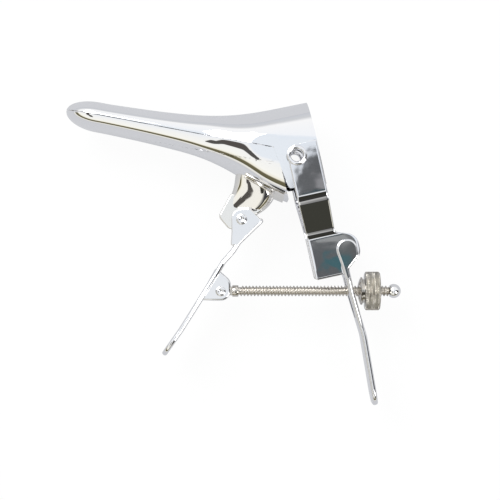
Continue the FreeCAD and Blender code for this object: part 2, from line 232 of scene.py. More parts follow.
def lathe(profile: Sequence[Point], origin: Sequence[float], axis: str,
          segments: int = 96) -> tuple[np.ndarray, list]:
    """Turn a profile round an axis through a point.

    Args:
        profile: (radius, distance along the axis) points in millimetres.
        origin: Point that the axis passes through.
        axis: "x" or "z".
        segments: Points round the circle.

    Returns:
        Points and faces of the turned surface.
    """
    angles = np.linspace(0, 2 * math.pi, segments, endpoint=False)
    rings = []
    for radius, along in profile:
        across = np.stack([radius * np.cos(angles), radius * np.sin(angles)], axis=1)
        run = np.full((segments, 1), along)
        ring = np.hstack([run, across]) if axis == "x" else np.hstack([across, run])
        rings.append(ring + np.asarray(origin, float))
    return np.concatenate(rings), grid_faces(len(profile), segments, closed=True)


def rounded_profile(corners: Sequence[tuple], steps: int = 6) -> list[Point]:
    """Points of an open outline whose inner corners are rounded.

    Args:
        corners: (x, y, radius) of each corner; the ends keep their place.
        steps: Points on each rounded corner, less one.

    Returns:
        The outline's points.
    """
    points = [tuple(corners[0][:2])]
    for before, corner, after in zip(corners, corners[1:], corners[2:]):
        points.extend(corner_arc(before, corner, after, steps))
    points.append(tuple(corners[-1][:2]))
    return points


def rounded_outline(corners: Sequence[tuple], steps: int = 8) -> list[Point]:
    """Points of a closed outline whose corners are rounded.

    Args:
        corners: (x, y) or (x, y, radius) of each corner.
        steps: Points on each rounded corner, less one.

    Returns:
        The outline's points, in order.
    """
    points = []
    count = len(corners)
    for index in range(count):
        points.extend(corner_arc(corners[index - 1], corners[index],
                                 corners[(index + 1) % count], steps))
    return points


def mirrored_outline(widths: Sequence[tuple]) -> list[Point]:
    """Closed outline of a strip from the half widths of one side.

    Args:
        widths: (half width, height) or (half width, height, radius) of each corner.

    Returns:
        The outline's points, in order.
    """
    other = [(-width, height, *rest) for width, height, *rest in widths[::-1]]
    return rounded_outline([*widths, *other], 12)


def corner_arc(before: Sequence[float], corner: Sequence[float], after: Sequence[float],
               steps: int) -> list[Point]:
    """Points of the arc that rounds one corner.

    Args:
        before: Corner before it.
        corner: The corner, with its radius as third value.
        after: Corner after it.
        steps: Points on the arc, less one.

    Returns:
        The arc's points, or the corner itself where it has no radius.
    """
    radius = corner[2] if len(corner) > 2 else 0.0
    here = Vector(corner[:2])
    to_before = (Vector(before[:2]) - here).normalized()
    to_after = (Vector(after[:2]) - here).normalized()
    opening = to_before.angle(to_after)
    if radius <= 0 or opening > math.pi - STRAIGHT:
        return [tuple(here)]
    middle = (to_before + to_after).normalized()
    center = here + middle * (radius / math.sin(opening / 2))
    sweep = (math.pi - opening) / 2
    turn = 1 if to_before.cross(to_after) < 0 else -1
    points = []
    for step in range(steps + 1):
        angle = turn * sweep * (2 * step / steps - 1)
        arm = -middle * radius
        points.append((center.x + arm.x * math.cos(angle) - arm.y * math.sin(angle),
                       center.y + arm.x * math.sin(angle) + arm.y * math.cos(angle)))
    return points


class NodeKit:
    """Short ways to add nodes to one node tree."""

    def __init__(self, tree: bpy.types.NodeTree) -> None:
        """Work on one node tree."""
        self.nodes, self.links = tree.nodes, tree.links

    def feed(self, socket: bpy.types.NodeSocket, value: Feed) -> None:
        """Give an input a link, a colour or a number.

        Args:
            socket: The input.
            value: Another node's output, a colour as (red, green, blue), or a number.
        """
        if isinstance(value, bpy.types.NodeSocket):
            self.links.new(value, socket)
        else:
            socket.default_value = (*value, 1.0) if isinstance(value, tuple) else value

    def add(self, kind: str, **settings: object) -> bpy.types.Node:
        """Add a node of one kind and set its properties.

        Args:
            kind: Blender's name of the kind.
            settings: Value of each property that is set.

        Returns:
            The node.
        """
        node = self.nodes.new(kind)
        for label, value in settings.items():
            setattr(node, label, value)
        return node

    def math(self, operation: str, first: Feed, second: Feed = 0.0,
             clamp: bool = False) -> bpy.types.NodeSocket:
        """Output of a math node.

        Args:
            operation: Its operation.
            first: Its first input.
            second: Its second input.
            clamp: Keep the result between 0 and 1.

        Returns:
            The output.
        """
        node = self.add("ShaderNodeMath", operation=operation, use_clamp=clamp)
        self.feed(node.inputs[0], first)
        self.feed(node.inputs[1], second)
        return node.outputs[0]

    def mix(self, factor: Feed, first: Feed, second: Feed) -> bpy.types.NodeSocket:
        """Output of a colour mix.

        Args:
            factor: Share of the second colour.
            first: First colour.
            second: Second colour.

        Returns:
            The output.
        """
        node = self.add("ShaderNodeMix", data_type="RGBA")
        for label, value in (("Factor", factor), ("A", first), ("B", second)):
            self.feed(node.inputs[label], value)
        return node.outputs["Result"]

    def noise(self, place: Feed, scale: Feed, detail: float) -> bpy.types.NodeSocket:
        """Output of a noise texture, from 0 to 1.

        Args:
            place: Coordinates.
            scale: Scale of the noise.
            detail: Its detail.

        Returns:
            The output.
        """
        texture = self.add("ShaderNodeTexNoise")
        for label, value in (("Vector", place), ("Scale", scale), ("Detail", detail)):
            self.feed(texture.inputs[label], value)
        return texture.outputs["Fac"]


@dataclass(frozen=True)
class Finish:
    """A metal finish: its colour, its gloss and how uneven it is.

    Attributes:
        name: Name of the material.
        slot: Material slot of the record; not used.
        color: Linear base colour.
        roughness: Mean roughness.
        roughness_spread: How far the roughness varies.
        wave_size: Size of the long waves of hand polishing, in millimetres.
        wave_height: Height of those waves, in millimetres.
        grain_size: Size of the fine grain, in millimetres.
        grain_height: Height of the fine grain, in millimetres.
        grime: Share of dark residue in hollows.
    """

    name: str
    slot: str
    color: tuple[float, float, float]
    roughness: float = 0.05
    roughness_spread: float = 0.03
    wave_size: float = 9.0
    wave_height: float = 0.010
    grain_size: float = 0.5
    grain_height: float = 0.0004
    grime: float = 0.0

    def material(self) -> bpy.types.Material:
        """Build the node material of this finish.

        Returns:
            The material.
        """
        made = bpy.data.materials.new(self.name)
        made.use_nodes = True
        kit = NodeKit(made.node_tree)
        shader = kit.nodes["Principled BSDF"]
        shader.inputs["Metallic"].default_value = 1.0
        group = kit.add("ShaderNodeGroup", node_tree=polish_group())
        values = {"Color": self.color, "Roughness": self.roughness, "Spread": self.roughness_spread,
                  "Wave size": self.wave_size, "Wave height": self.wave_height,
                  "Grain size": self.grain_size, "Grain height": self.grain_height,
                  "Grime": self.grime}
        for label, value in values.items():
            kit.feed(group.inputs[label], value)
        kit.feed(shader.inputs["Base Color"], group.outputs["Color"] if self.grime else self.color)
        kit.feed(shader.inputs["Roughness"], group.outputs["Roughness"])
        bump = kit.add("ShaderNodeBump")
        kit.feed(bump.inputs["Strength"], 1.0)
        kit.feed(bump.inputs["Distance"], MILLIMETRE)
        kit.feed(bump.inputs["Height"], group.outputs["Height"])
        kit.feed(shader.inputs["Normal"], bump.outputs["Normal"])
        return made


def polish_group() -> bpy.types.NodeTree:
    """Node group of polished metal: colour, roughness and height, shared by every finish.

    Returns:
        The group, made at its first use.
    """
    name = "polished_metal"
    if name in bpy.data.node_groups:
        return bpy.data.node_groups[name]
    group = bpy.data.node_groups.new(name, "ShaderNodeTree")
    sockets = group.interface
    sockets.new_socket("Color", in_out="INPUT", socket_type="NodeSocketColor")
    for label in ("Roughness", "Spread", "Wave size", "Wave height", "Grain size",
                  "Grain height", "Grime"):
        sockets.new_socket(label, in_out="INPUT", socket_type="NodeSocketFloat")
    sockets.new_socket("Color", in_out="OUTPUT", socket_type="NodeSocketColor")
    for label in ("Roughness", "Height"):
        sockets.new_socket(label, in_out="OUTPUT", socket_type="NodeSocketFloat")
    kit = NodeKit(group)
    entry = kit.add("NodeGroupInput").outputs
    leave = kit.add("NodeGroupOutput").inputs
    place = kit.add("ShaderNodeTexCoord").outputs["Object"]
    wave = kit.noise(place, kit.math("DIVIDE", 1.0 / MILLIMETRE, entry["Wave size"]), 1.0)
    grain = kit.noise(place, kit.math("DIVIDE", 1.0 / MILLIMETRE, entry["Grain size"]), 3.0)
    smudge = kit.noise(place, SMUDGE_SCALE, 5.0)
    uneven = kit.math("MULTIPLY", kit.math("SUBTRACT", smudge, 0.5), 2.0)
    spread = kit.math("MULTIPLY", uneven, entry["Spread"])
    rough = kit.math("ADD", spread, entry["Roughness"])
    kit.feed(leave["Roughness"], kit.math("MAXIMUM", rough, LEAST_ROUGHNESS))
    waves = kit.math("MULTIPLY", wave, entry["Wave height"])
    grains = kit.math("MULTIPLY", grain, entry["Grain height"])
    kit.feed(leave["Height"], kit.math("ADD", waves, grains))
    dirt = kit.math("MULTIPLY", grain, entry["Grime"])
    kit.feed(leave["Color"], kit.mix(dirt, entry["Color"], GRIME_COLOR))
    return group


BLADE_STEEL = Finish("blade_steel", "blade_steel", (0.93, 0.93, 0.94), 0.035, 0.015, 14.0, 0.012)
FRAME_STEEL = Finish("frame_steel", "polished_steel", (0.88, 0.88, 0.90), 0.03, 0.02, 7.0, 0.016)
HANDLE_STEEL = Finish("handle_steel", "polished_steel", (0.88, 0.88, 0.89), 0.035, 0.02, 9.0, 0.014)
LEVER_STEEL = Finish("lever_steel", "polished_steel", (0.88, 0.88, 0.89), 0.035, 0.02, 6.0, 0.014)
NECK_STEEL = Finish("neck_steel", "polished_steel", (0.90, 0.88, 0.84), 0.06, 0.03, 5.0, 0.014)
RIVET_STEEL = Finish("rivet_steel", "rivet_steel", (0.90, 0.90, 0.92), 0.04, 0.02, 3.0, 0.004)
PIN_STEEL = Finish("pin_steel", "pin_steel", (0.86, 0.86, 0.87), 0.06, 0.03, 3.0, 0.004)
SCREW_STEEL = Finish("screw_steel", "screw_steel", (0.74, 0.70, 0.64), 0.12, 0.06, 4.0, 0.004,
                     0.35, 0.010, 0.35)
NUT_STEEL = Finish("nut_steel", "nut_steel", (0.66, 0.63, 0.57), 0.15, 0.06, 4.0, 0.004,
                   0.35, 0.012, 0.40)
COLLAR_STEEL = Finish("collar_steel", "collar_steel", (0.68, 0.65, 0.60), 0.10, 0.04, 4.0, 0.006,
                      0.30, 0.006, 0.20)
BALL_STEEL = Finish("ball_steel", "ball_steel", (0.90, 0.90, 0.90), 0.04, 0.02, 4.0, 0.006)


class Wardrobe:
    """Builds each finish once and puts it on pieces."""

    def __init__(self) -> None:
        """Start with no material made."""
        self.made: dict[str, bpy.types.Material] = {}

    def dress(self, piece: bpy.types.Object, finish: Finish) -> None:
        """Give a piece one finish all over.

        Args:
            piece: The piece to dress.
            finish: The finish to put on it.
        """
        if finish.name not in self.made:
            self.made[finish.name] = finish.material()
        piece.data.materials.clear()
        piece.data.materials.append(self.made[finish.name])


WARDROBE = Wardrobe()


def settle(piece: bpy.types.Object, body: Body, finish: Finish, *nodes: str) -> bpy.types.Object:
    """Dress a new piece, let it ride and let it stand for its CAD nodes.

    Args:
        piece: The new piece.
        body: The body that it rides on.
        finish: Its finish.
        nodes: CAD nodes that it stands for.

    Returns:
        The same piece.
    """
    WARDROBE.dress(piece, finish)
    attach(piece, body.value)
    if nodes:
        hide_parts(*nodes)
    LOG.info("%s rides on %s with %d points", piece.name, body.value, len(piece.data.vertices))
    return piece


def smooth_curve(stations: Sequence[float],
                 values: Sequence[float]) -> Callable[[np.ndarray], np.ndarray]:
    """Natural cubic spline through given values.

    Args:
        stations: Increasing places.
        values: Value at each place.

    Returns:
        A function that gives the value at any places.
    """
    x, y = np.asarray(stations, float), np.asarray(values, float)
    count = len(x)
    gap = np.diff(x)
    matrix = np.eye(count)
    right = np.zeros(count)
    for i in range(1, count - 1):
        matrix[i, i - 1] = gap[i - 1]
        matrix[i, i] = 2 * (gap[i - 1] + gap[i])
        matrix[i, i + 1] = gap[i]
        right[i] = 6 * ((y[i + 1] - y[i]) / gap[i] - (y[i] - y[i - 1]) / gap[i - 1])
    bend = np.linalg.solve(matrix, right)

    def value(places: np.ndarray) -> np.ndarray:
        """Read the spline.

        Args:
            places: Where it is read.

        Returns:
            Its value at each place.
        """
        t = np.clip(np.asarray(places, float), x[0], x[-1])
        i = np.clip(np.searchsorted(x, t) - 1, 0, count - 2)
        a, b = x[i + 1] - t, t - x[i]
        h = gap[i]
        return (bend[i] * a ** 3 / (6 * h) + bend[i + 1] * b ** 3 / (6 * h)
                + (y[i] / h - bend[i] * h / 6) * a + (y[i + 1] / h - bend[i + 1] * h / 6) * b)

    return value


def pierce(piece: bpy.types.Object, center: Point, radius: float, pull: float = 1.3) -> None:
    """Open a round hole along Z through every wall of a piece.

    Args:
        piece: The piece.
        center: Centre of the hole in X and Y, in millimetres.
        radius: Radius of the hole in millimetres.
        pull: Open edges within this many radii are drawn to the hole's rim.
    """
    shape = bmesh.new()
    shape.from_mesh(piece.data)
    middle, size = Vector(center) * MILLIMETRE, radius * MILLIMETRE
    inside = [face for face in shape.faces
              if all((vert.co.xy - middle).length < size for vert in face.verts)]
    bmesh.ops.delete(shape, geom=inside, context="FACES")
    for edge in shape.edges:
        if edge.is_boundary:
            for vert in edge.verts:
                arm = vert.co.xy - middle
                if arm.length < pull * size:
                    arm = arm.normalized() * size
                    vert.co.x, vert.co.y = middle.x + arm.x, middle.y + arm.y
    shape.to_mesh(piece.data)
    shape.free()


@dataclass
class Blades:
    """The two hollow blades, drawn over the seam line between tip and hinge.

    Attributes:
        slope: Slope of the seam, in degrees.
        seam_height: Height of the seam over the hinge.
        seam_gap: Gap between the blades' edges.
        wall: Wall of the blades.
        length: Distance from hinge to tip.
        tip_round: Length over which the tip is rounded.
        bill_half_width: Half the width of the bill.
        mouth_half_width: Half the width of the upper blade at its ears.
        nest_gap: Gap between the ears of the two blades.
        bulge: How far the round wall would pass the flat ears.
        waist: Distance from the hinge at which the bill starts to widen.
        flare: Distance from the hinge at which it is as wide as the mouth.
        ear: Radius of the ears.
        mouth_lean: Lean of the mouth's plane, in degrees.
        mouth_reach: Distance of that plane from the hinge.
        columns: Points across a blade, from edge to edge.
        tip_rows: Rows over the rounded tip.
        tip_angle: Angle of the first row on the tip's rounding, in radians.
        body_rows: Rows from the rounded tip to the mouth.
        rear_start: First guess of where the last row lies.
        rear_rounds: Rounds in which the rows are moved up to the mouth.
        stations: Places along the seam at which the heights are given.
        upper_heights: Height of the upper blade's back at each station.
        lower_heights: Depth of the lower blade's back at each station.
        slant_start: Distance from the hinge at which the lower edge starts to rise to its ear.
        slant_end: Share of the ear's radius at which that rise ends.
        ear_start: Share of the ear's radius at which its arc starts.
        ear_front: Distance from the hinge at which the upper ear starts.
        ear_low_front: Low front corner of the upper ear.
        ear_low_rear: Low rear corner of the upper ear.
        rear_top: Upper end of the lower blade's rear rim.
        rear_bottom: Lower end of that rim.
        rear_cut: Point that the cut below the rim runs to.
        hole: Radius of the holes under the rivets' flanges.
        deepest: Most of a row's height that its edge may take away.
        saddle: Thickness of the saddle plate.
        saddle_sink: How deep its inner face lies in the blade's wall.
        saddle_front: Front end of the saddle plate along the seam.
        saddle_rear: Rear end of the saddle plate along the seam.
        saddle_grid: Rows and columns of the saddle plate.
        lip_front: Front end of the saddle's upper edge.
        lip_rear: Rear end of the saddle's upper edge.
        lip_limit: Most of the saddle's height that this edge may take away.
    """

    slope: float = 10.7
    seam_height: float = 1.87
    seam_gap: float = 0.3
    wall: float = 1.2
    length: float = 109.8
    tip_round: float = 15.0
    bill_half_width: float = 13.5
    mouth_half_width: float = 19.0
    nest_gap: float = 0.15
    bulge: float = 0.9
    waist: float = 45.0
    flare: float = 14.0
    ear: float = 5.2
    mouth_lean: float = 12.4
    mouth_reach: float = 10.5
    columns: int = 97
    tip_rows: int = 26
    tip_angle: float = 0.03
    body_rows: int = 150
    rear_start: float = 5.0
    rear_rounds: int = 12
    stations: tuple = (-90.0, -73.5, -57.0, -45.0, -36.0, -25.0, -13.6, 0.6, 14.0)
    upper_heights: tuple = (6.6, 7.3, 8.4, 9.8, 11.5, 14.6, 18.9, 24.7, 29.8)
    lower_heights: tuple = (7.4, 7.85, 8.7, 9.9, 11.8, 15.4, 19.9, 23.3, 26.5)
    slant_start: float = 13.0
    slant_end: float = 0.72
    ear_start: float = 0.70
    ear_front: float = 11.2
    ear_low_front: tuple = (-3.6, -15.1)
    ear_low_rear: tuple = (13.58, -12.88)
    rear_top: tuple = (-9.4, 3.4)
    rear_bottom: tuple = (-3.4, -19.6)
    rear_cut: tuple = (-8.0, -30.0)
    hole: float = 3.9
    deepest: float = 0.9
    saddle: float = 1.0
    saddle_sink: float = 0.05
    saddle_front: float = -22.0
    saddle_rear: float = -2.2
    saddle_grid: tuple = (40, 61)
    lip_front: tuple = (-19.1, -10.9)
    lip_rear: tuple = (-3.5, -18.2)
    lip_limit: float = 0.98

    def to_part(self, u: np.ndarray, v: np.ndarray) -> tuple[np.ndarray, np.ndarray]:
        """Turn places over the seam to the part's frame.

        Args:
            u: Place of each point along the seam.
            v: Its height over the seam.

        Returns:
            X and Y of the points.
        """
        angle = -math.radians(self.slope)
        y = v + self.seam_height
        return u * math.cos(angle) - y * math.sin(angle), u * math.sin(angle) + y * math.cos(angle)

    def to_seam(self, x: float, y: float) -> Point:
        """Turn a place of the part's frame to one over the seam.

        Args:
            x: X of the place.
            y: Y of the place.

        Returns:
            Place along the seam, and height over it.
        """
        angle = math.radians(self.slope)
        return (x * math.cos(angle) - y * math.sin(angle),
                x * math.sin(angle) + y * math.cos(angle) - self.seam_height)

    def mouth_of(self, half: Half) -> float:
        """Half the width of a blade at its ears.

        Args:
            half: Which blade.

        Returns:
            Half the width; the lower blade's ears lie inside the upper's.
        """
        if half is Half.UPPER:
            return self.mouth_half_width
        return self.mouth_half_width - self.wall - self.nest_gap

    def half_width(self, u: np.ndarray, mouth: float) -> np.ndarray:
        """Half the width of a blade at places along the seam.

        Args:
            u: Places along the seam.
            mouth: Half the width at the ears.

        Returns:
            Half the width at each place.
        """
        share = np.clip((u + self.waist) / (self.waist - self.flare), 0, 1)
        return self.bill_half_width + (mouth + self.bulge - self.bill_half_width) * eased(share)

    def edge_line(self, half: Half) -> Callable[[np.ndarray], np.ndarray]:
        """Edge of a blade, with its ear.

        Args:
            half: Which blade.

        Returns:
            A function that gives the reach past the seam at any places.
        """
        edge = -self.seam_gap / 2
        center = self.to_seam(0.0, 0.0)
        radius = self.ear
        if half is Half.UPPER:
            front, rear = self.to_seam(*self.ear_low_front), self.to_seam(*self.ear_low_rear)
            places = [-self.ear_front, front[0], rear[0]]
            depths = [edge, -front[1], -rear[1]]

            def reach(u: np.ndarray) -> np.ndarray:
                """Reach of the upper blade's walls and ears below the seam."""
                return np.interp(u, places, depths)

            return reach
        start = self.slant_start
        slant_height = center[1] + radius * self.ear_start - edge

        def reach(u: np.ndarray) -> np.ndarray:
            """Reach of the lower blade's walls and ears above the seam.

            Args:
                u: Places along the seam.

            Returns:
                The reach at each place.
            """
            across = np.clip((u - center[0]) / radius, -1, 1)
            arc = center[1] + radius * np.sqrt(1 - across ** 2)
            slant = np.clip((u + start) / (start - radius * self.slant_end), 0, 1)
            return np.where(u < center[0] - radius * self.ear_start, edge + slant * slant_height, arc)

        return reach

    def rear_limit(self, half: Half, v: np.ndarray) -> np.ndarray:
        """Rear rim of a blade.

        Args:
            half: Which blade.
            v: Heights over the seam.

        Returns:
            The furthest place at each height.
        """
        if half is Half.UPPER:
            lean = math.radians(self.mouth_lean + self.slope)
            turned = math.radians(self.mouth_lean)
            base = self.to_seam(self.mouth_reach * math.cos(turned), self.mouth_reach * math.sin(turned))
            return base[0] - (v - base[1]) * math.tan(lean)
        top, bottom = self.to_seam(*self.rear_top), self.to_seam(*self.rear_bottom)
        rate = (bottom[0] - top[0]) / (bottom[1] - top[1])
        rim = top[0] + (-v - top[1]) * rate
        cut = self.to_seam(*self.rear_cut)
        cut_rate = (cut[0] - bottom[0]) / (cut[1] - bottom[1])
        rim = np.where(-v < bottom[1], bottom[0] + (-v - bottom[1]) * cut_rate, rim)
        center = self.to_seam(0.0, 0.0)
        lobe = center[0] + np.sqrt(np.maximum(self.ear ** 2 - (-v - center[1]) ** 2, 0))
        return np.where(np.abs(-v - center[1]) < self.ear, np.maximum(rim, lobe), rim)

    def surface(self, half: Half, inset: float) -> np.ndarray:
        """Grid of points over one face of a blade.

        Args:
            half: Which blade.
            inset: How far in from the outer face.

        Returns:
            Points as (rows, columns, 3), from the tip back and over the blade's back.
        """
        heights = self.upper_heights if half is Half.UPPER else self.lower_heights
        height_of, reach_of = smooth_curve(self.stations, heights), self.edge_line(half)
        mouth = self.mouth_of(half)
        fractions = np.linspace(0, 1, self.columns)

        def row(u: np.ndarray, grown: float) -> np.ndarray:
            """Points (u, v, z) of one row."""
            return self.section(u, grown, fractions, height_of, reach_of, mouth, inset)

        rows = []
        tip = last = -self.length + inset
        for share in 1 - np.cos(np.linspace(self.tip_angle, math.pi / 2, self.tip_rows)):
            last = tip + share * self.tip_round
            rows.append(row(np.full(self.columns, last), math.sqrt(max(1 - (1 - share) ** 2, 0))))
        for index in range(1, self.body_rows + 1):
            share = index / self.body_rows
            u = np.full(self.columns, last + share * (self.rear_start - last))
            for _ in range(self.rear_rounds):
                limit = self.rear_limit(half, row(u, 1.0)[:, 1])
                u = 0.5 * u + 0.5 * (last + share * (limit - last))
            rows.append(row(u, 1.0))
        u, v, z = np.moveaxis(np.array(rows), 2, 0)
        return np.stack([*self.to_part(u, half.value * v), z], axis=2)

    def section(self, u: np.ndarray, grown: float, fractions: np.ndarray,
                height_of: Callable, reach_of: Callable, mouth: float, inset: float) -> np.ndarray:
        """Points (u, v, z) of one row, spread evenly from edge to edge.

        Args:
            u: Place along the seam of each point.
            grown: Share of full size, under 1 at the rounded tip.
            fractions: Share of the way from edge to edge of each point.
            height_of: Height of the blade's back at a place.
            reach_of: Reach of the walls past the seam at a place.
            mouth: Half the width at the ears.
            inset: How far in from the outer face.

        Returns:
            The row's points.
        """
        width = (self.half_width(u, mouth) - inset) * grown
        height = (height_of(u) - inset) * grown
        reach = reach_of(u)
        low = np.arcsin(np.clip(-reach / height, 0, self.deepest))
        leg = np.maximum(reach, 0)
        arc = (math.pi - 2 * low) * (width + height) / 2
        total = arc + 2 * leg
        along = fractions * total
        turned = (along - leg) / np.maximum(arc, 1e-6) * (math.pi - 2 * low)
        angle = np.clip(low + turned, low, math.pi - low)
        v = height * np.sin(angle)
        v = np.where(along < leg, along - leg, v)
        v = np.where(along > total - leg, total - leg - along, v)
        z = width * np.cos(angle)
        return np.stack([u, v, np.clip(z, -(mouth - inset), mouth - inset)], axis=1)

    def shell(self, name: str, outer: np.ndarray, inner: np.ndarray) -> bpy.types.Object:
        """Join two grids of points into one closed sheet.

        Args:
            name: Name of the piece.
            outer: Points of its outer face as (rows, columns, 3).
            inner: Points of its inner face, as many.

        Returns:
            The sheet.
        """
        rows, columns = outer.shape[:2]
        points = [outer.reshape(-1, 3), inner.reshape(-1, 3)]
        count = rows * columns
        faces = grid_faces(rows, columns)
        faces += [tuple(index + count for index in face[::-1]) for face in faces]
        rim = [row * columns for row in range(rows)]
        rim += [(rows - 1) * columns + column for column in range(1, columns)]
        rim += [row * columns + columns - 1 for row in range(rows - 2, -1, -1)]
        rim += [column for column in range(columns - 2, 0, -1)]
        points.append(np.array([(points[0][i] + points[1][i]) / 2 for i in rim]))
        base = 2 * count
        for index, here in enumerate(rim):
            following = (index + 1) % len(rim)
            there = rim[following]
            faces.append((here, there, base + following, base + index))
            faces.append((base + index, base + following, there + count, here + count))
        return new_object(name, np.concatenate(points), faces, smooth_angle=50.0)

    def saddle_plate(self) -> bpy.types.Object:
        """Make the plate brazed under the lower blade, its lip running up to the hinge.

        Returns:
            The plate.
        """
        height_of = smooth_curve(self.stations, self.lower_heights)
        mouth = self.mouth_of(Half.LOWER)
        front, rear = self.to_seam(*self.lip_front), self.to_seam(*self.lip_rear)
        rows, columns = self.saddle_grid
        layers = []
        for out in (self.saddle, -self.saddle_sink):
            grid = np.zeros((rows, columns, 3))
            for index, u in enumerate(np.linspace(self.saddle_front, self.saddle_rear, rows)):
                place = np.array([u])
                width = float(self.half_width(place, mouth)[0]) + out
                height = float(height_of(place)[0]) + out
                lip = -(front[1] + (u - front[0]) * (rear[1] - front[1]) / (rear[0] - front[0]))
                low = math.asin(min(max(lip / height, 0.0), self.lip_limit))
                angle = np.linspace(low, math.pi - low, columns)
                x, y = self.to_part(np.full(columns, u), -height * np.sin(angle))
                grid[index] = np.stack([x, y, width * np.cos(angle)], axis=1)
            layers.append(grid)
        return self.shell("neck_saddle", *layers)

    def build(self, half: Half) -> bpy.types.Object:
        """Make one blade with both faces and a rounded rim.

        Args:
            half: Which blade.

        Returns:
            The blade.
        """
        blade = self.shell(f"{half.name.lower()}_blade_shell", self.surface(half, 0.0),
                           self.surface(half, self.wall))
        pierce(blade, (0.0, 0.0), self.hole)
        return blade


@dataclass
class Screw:
    """Clamping screw with its eye, shoulder, thread and ball end.

    Attributes:
        height: Height of the screw's axis.
        pivot: Place of the eye's centre along X.
        radius: Outer radius of the thread.
        pitch: Pitch of the thread.
        depth: Depth of the thread.
        crest: Height of a ridge before its top is cut flat, as a share of the depth.
        flank: Steepness of a ridge's flanks.
        fade_in: Length over which the thread rises at the shoulder.
        fade_out: Length over which it runs out at the ball.
        around: Points round the thread.
        per_pitch: Rows in one pitch.
        end: End of the thread along X.
        eye_half: Half the thickness of the eye, and of its neck.
        eye_radius: Radius of the eye.
        eye_neck: Corners where the eye narrows, as (distance from its centre, radius).
        overlap: How far eye and thread run under the shoulder.
        shoulder_start: Start of the shoulder along X.
        shoulder_end: End of the shoulder along X.
        shoulder_radius: Radius of the shoulder.
        shoulder_edge: Width of the shoulder's rounded edges.
        stem: Radius and length of the shoulder's stem in the thread.
        neck_radius: Radius of the ball's neck.
        ball_radius: Radius of the ball.
        ball_center: Place of the ball's centre along X.
        ball_gap: Gap between thread and ball.
        ball_lead: How far past the thread's end the ball's round face starts.
        ball_steps: Faces of the ball from its neck to its top.
    """

    height: float = -62.5
    pivot: float = -35.1
    radius: float = 2.48
    pitch: float = 1.6
    depth: float = 0.72
    crest: float = 1.25
    flank: float = 3.2
    fade_in: float = 0.8
    fade_out: float = 0.6
    around: int = 48
    per_pitch: int = 10
    end: float = 44.0
    eye_half: float = 2.0
    eye_radius: float = 3.8
    eye_neck: tuple = ((2.6, 1.6), (3.4, 0.8))
    overlap: float = 0.4
    shoulder_start: float = -29.8
    shoulder_end: float = -26.8
    shoulder_radius: float = 2.7
    shoulder_edge: float = 0.4
    stem: tuple = (1.8, 0.6)
    neck_radius: float = 1.7
    ball_radius: float = 3.3
    ball_center: float = 46.14
    ball_gap: float = 0.06
    ball_lead: float = 0.15
    ball_steps: int = 40

    def thread(self) -> bpy.types.Object:
        """Make the threaded rod as one turned surface.

        Returns:
            The rod.
        """
        start = self.shoulder_end + self.overlap
        count = int((self.end - start) / self.pitch * self.per_pitch)
        places = np.linspace(start, self.end, count)
        angles = np.linspace(0, 2 * math.pi, self.around, endpoint=False)
        x, a = np.meshgrid(places, angles, indexing="ij")
        phase = (x / self.pitch + a / (2 * math.pi)) % 1.0
        ridge = eased(np.clip(self.crest - np.abs(phase - 0.5) * self.flank, 0.0, 1.0))
        fade = np.clip((x - start) / self.fade_in, 0, 1) * np.clip((self.end - x) / self.fade_out, 0, 1)
        r = self.radius - self.depth * (1 - ridge * fade)
        points = np.stack([x, self.height + r * np.cos(a), r * np.sin(a)], axis=2).reshape(-1, 3)
        return new_object("screw_thread", points, tube_faces(count, self.around), smooth_angle=75.0)

    def shoulder(self) -> bpy.types.Object:
        """Make the plain shoulder between eye and thread.

        Returns:
            The shoulder.
        """
        start, end, radius = self.shoulder_start, self.shoulder_end, self.shoulder_radius
        edge, soft = self.shoulder_edge, 0.3 * self.shoulder_edge
        stem_radius, stem_length = self.stem
        profile = [(AXIS, start), (radius - edge, start), (radius - soft, start + soft),
                   (radius, start + edge), (radius, end - edge), (radius - soft, end - soft),
                   (radius - edge, end), (stem_radius, end), (stem_radius, end + stem_length),
                   (AXIS, end + stem_length)]
        points, faces = lathe(profile, (0, self.height, 0), "x", segments=64)
        return new_object("screw_shoulder", points, faces)

    def eye(self) -> bpy.types.Object:
        """Make the flat eye on the pivot pin, with its neck to the shoulder.

        Returns:
            The eye.
        """
        half, radius = self.eye_half, self.eye_radius
        left, right, arc = self.pivot - radius, self.shoulder_start + self.overlap, radius * NEARLY_ROUND
        (wide, wide_arc), (narrow, narrow_arc) = self.eye_neck
        wide, narrow = self.pivot + wide, self.pivot + narrow
        outline = [(left, radius, arc), (left, -radius, arc), (wide, -radius, wide_arc),
                   (narrow, -half, narrow_arc), (right, -half), (right, half),
                   (narrow, half, narrow_arc), (wide, radius, wide_arc)]
        outline = [(x, y + self.height, *rest) for x, y, *rest in outline]
        return plate_object("screw_eye", rounded_outline(outline), -half, half, edge=0.35)

    def ball(self) -> bpy.types.Object:
        """Make the ball end with its short neck against the thread.

        Returns:
            The ball end.
        """
        start, steps = self.end + self.ball_gap, self.ball_steps
        profile = [(AXIS, start), (self.neck_radius, start)]
        first = math.acos((self.ball_center - self.end - self.ball_lead) / self.ball_radius)
        for angle in np.linspace(math.pi - first, 0, steps + 1):
            profile.append((max(self.ball_radius * math.sin(angle), AXIS),
                            self.ball_center + self.ball_radius * math.cos(angle)))
        points, faces = lathe(profile, (0, self.height, 0), "x", segments=96)
        return new_object("screw_ball_turned", points, faces)

    def build(self) -> None:
        """Make and place every piece of the screw."""
        settle(self.thread(), Body.SCREW, SCREW_STEEL, "screw_rod")
        settle(self.shoulder(), Body.SCREW, SCREW_STEEL, "screw_rod")
        settle(self.eye(), Body.SCREW, SCREW_STEEL, "screw_rod")
        settle(self.ball(), Body.SCREW, BALL_STEEL, "screw_ball")


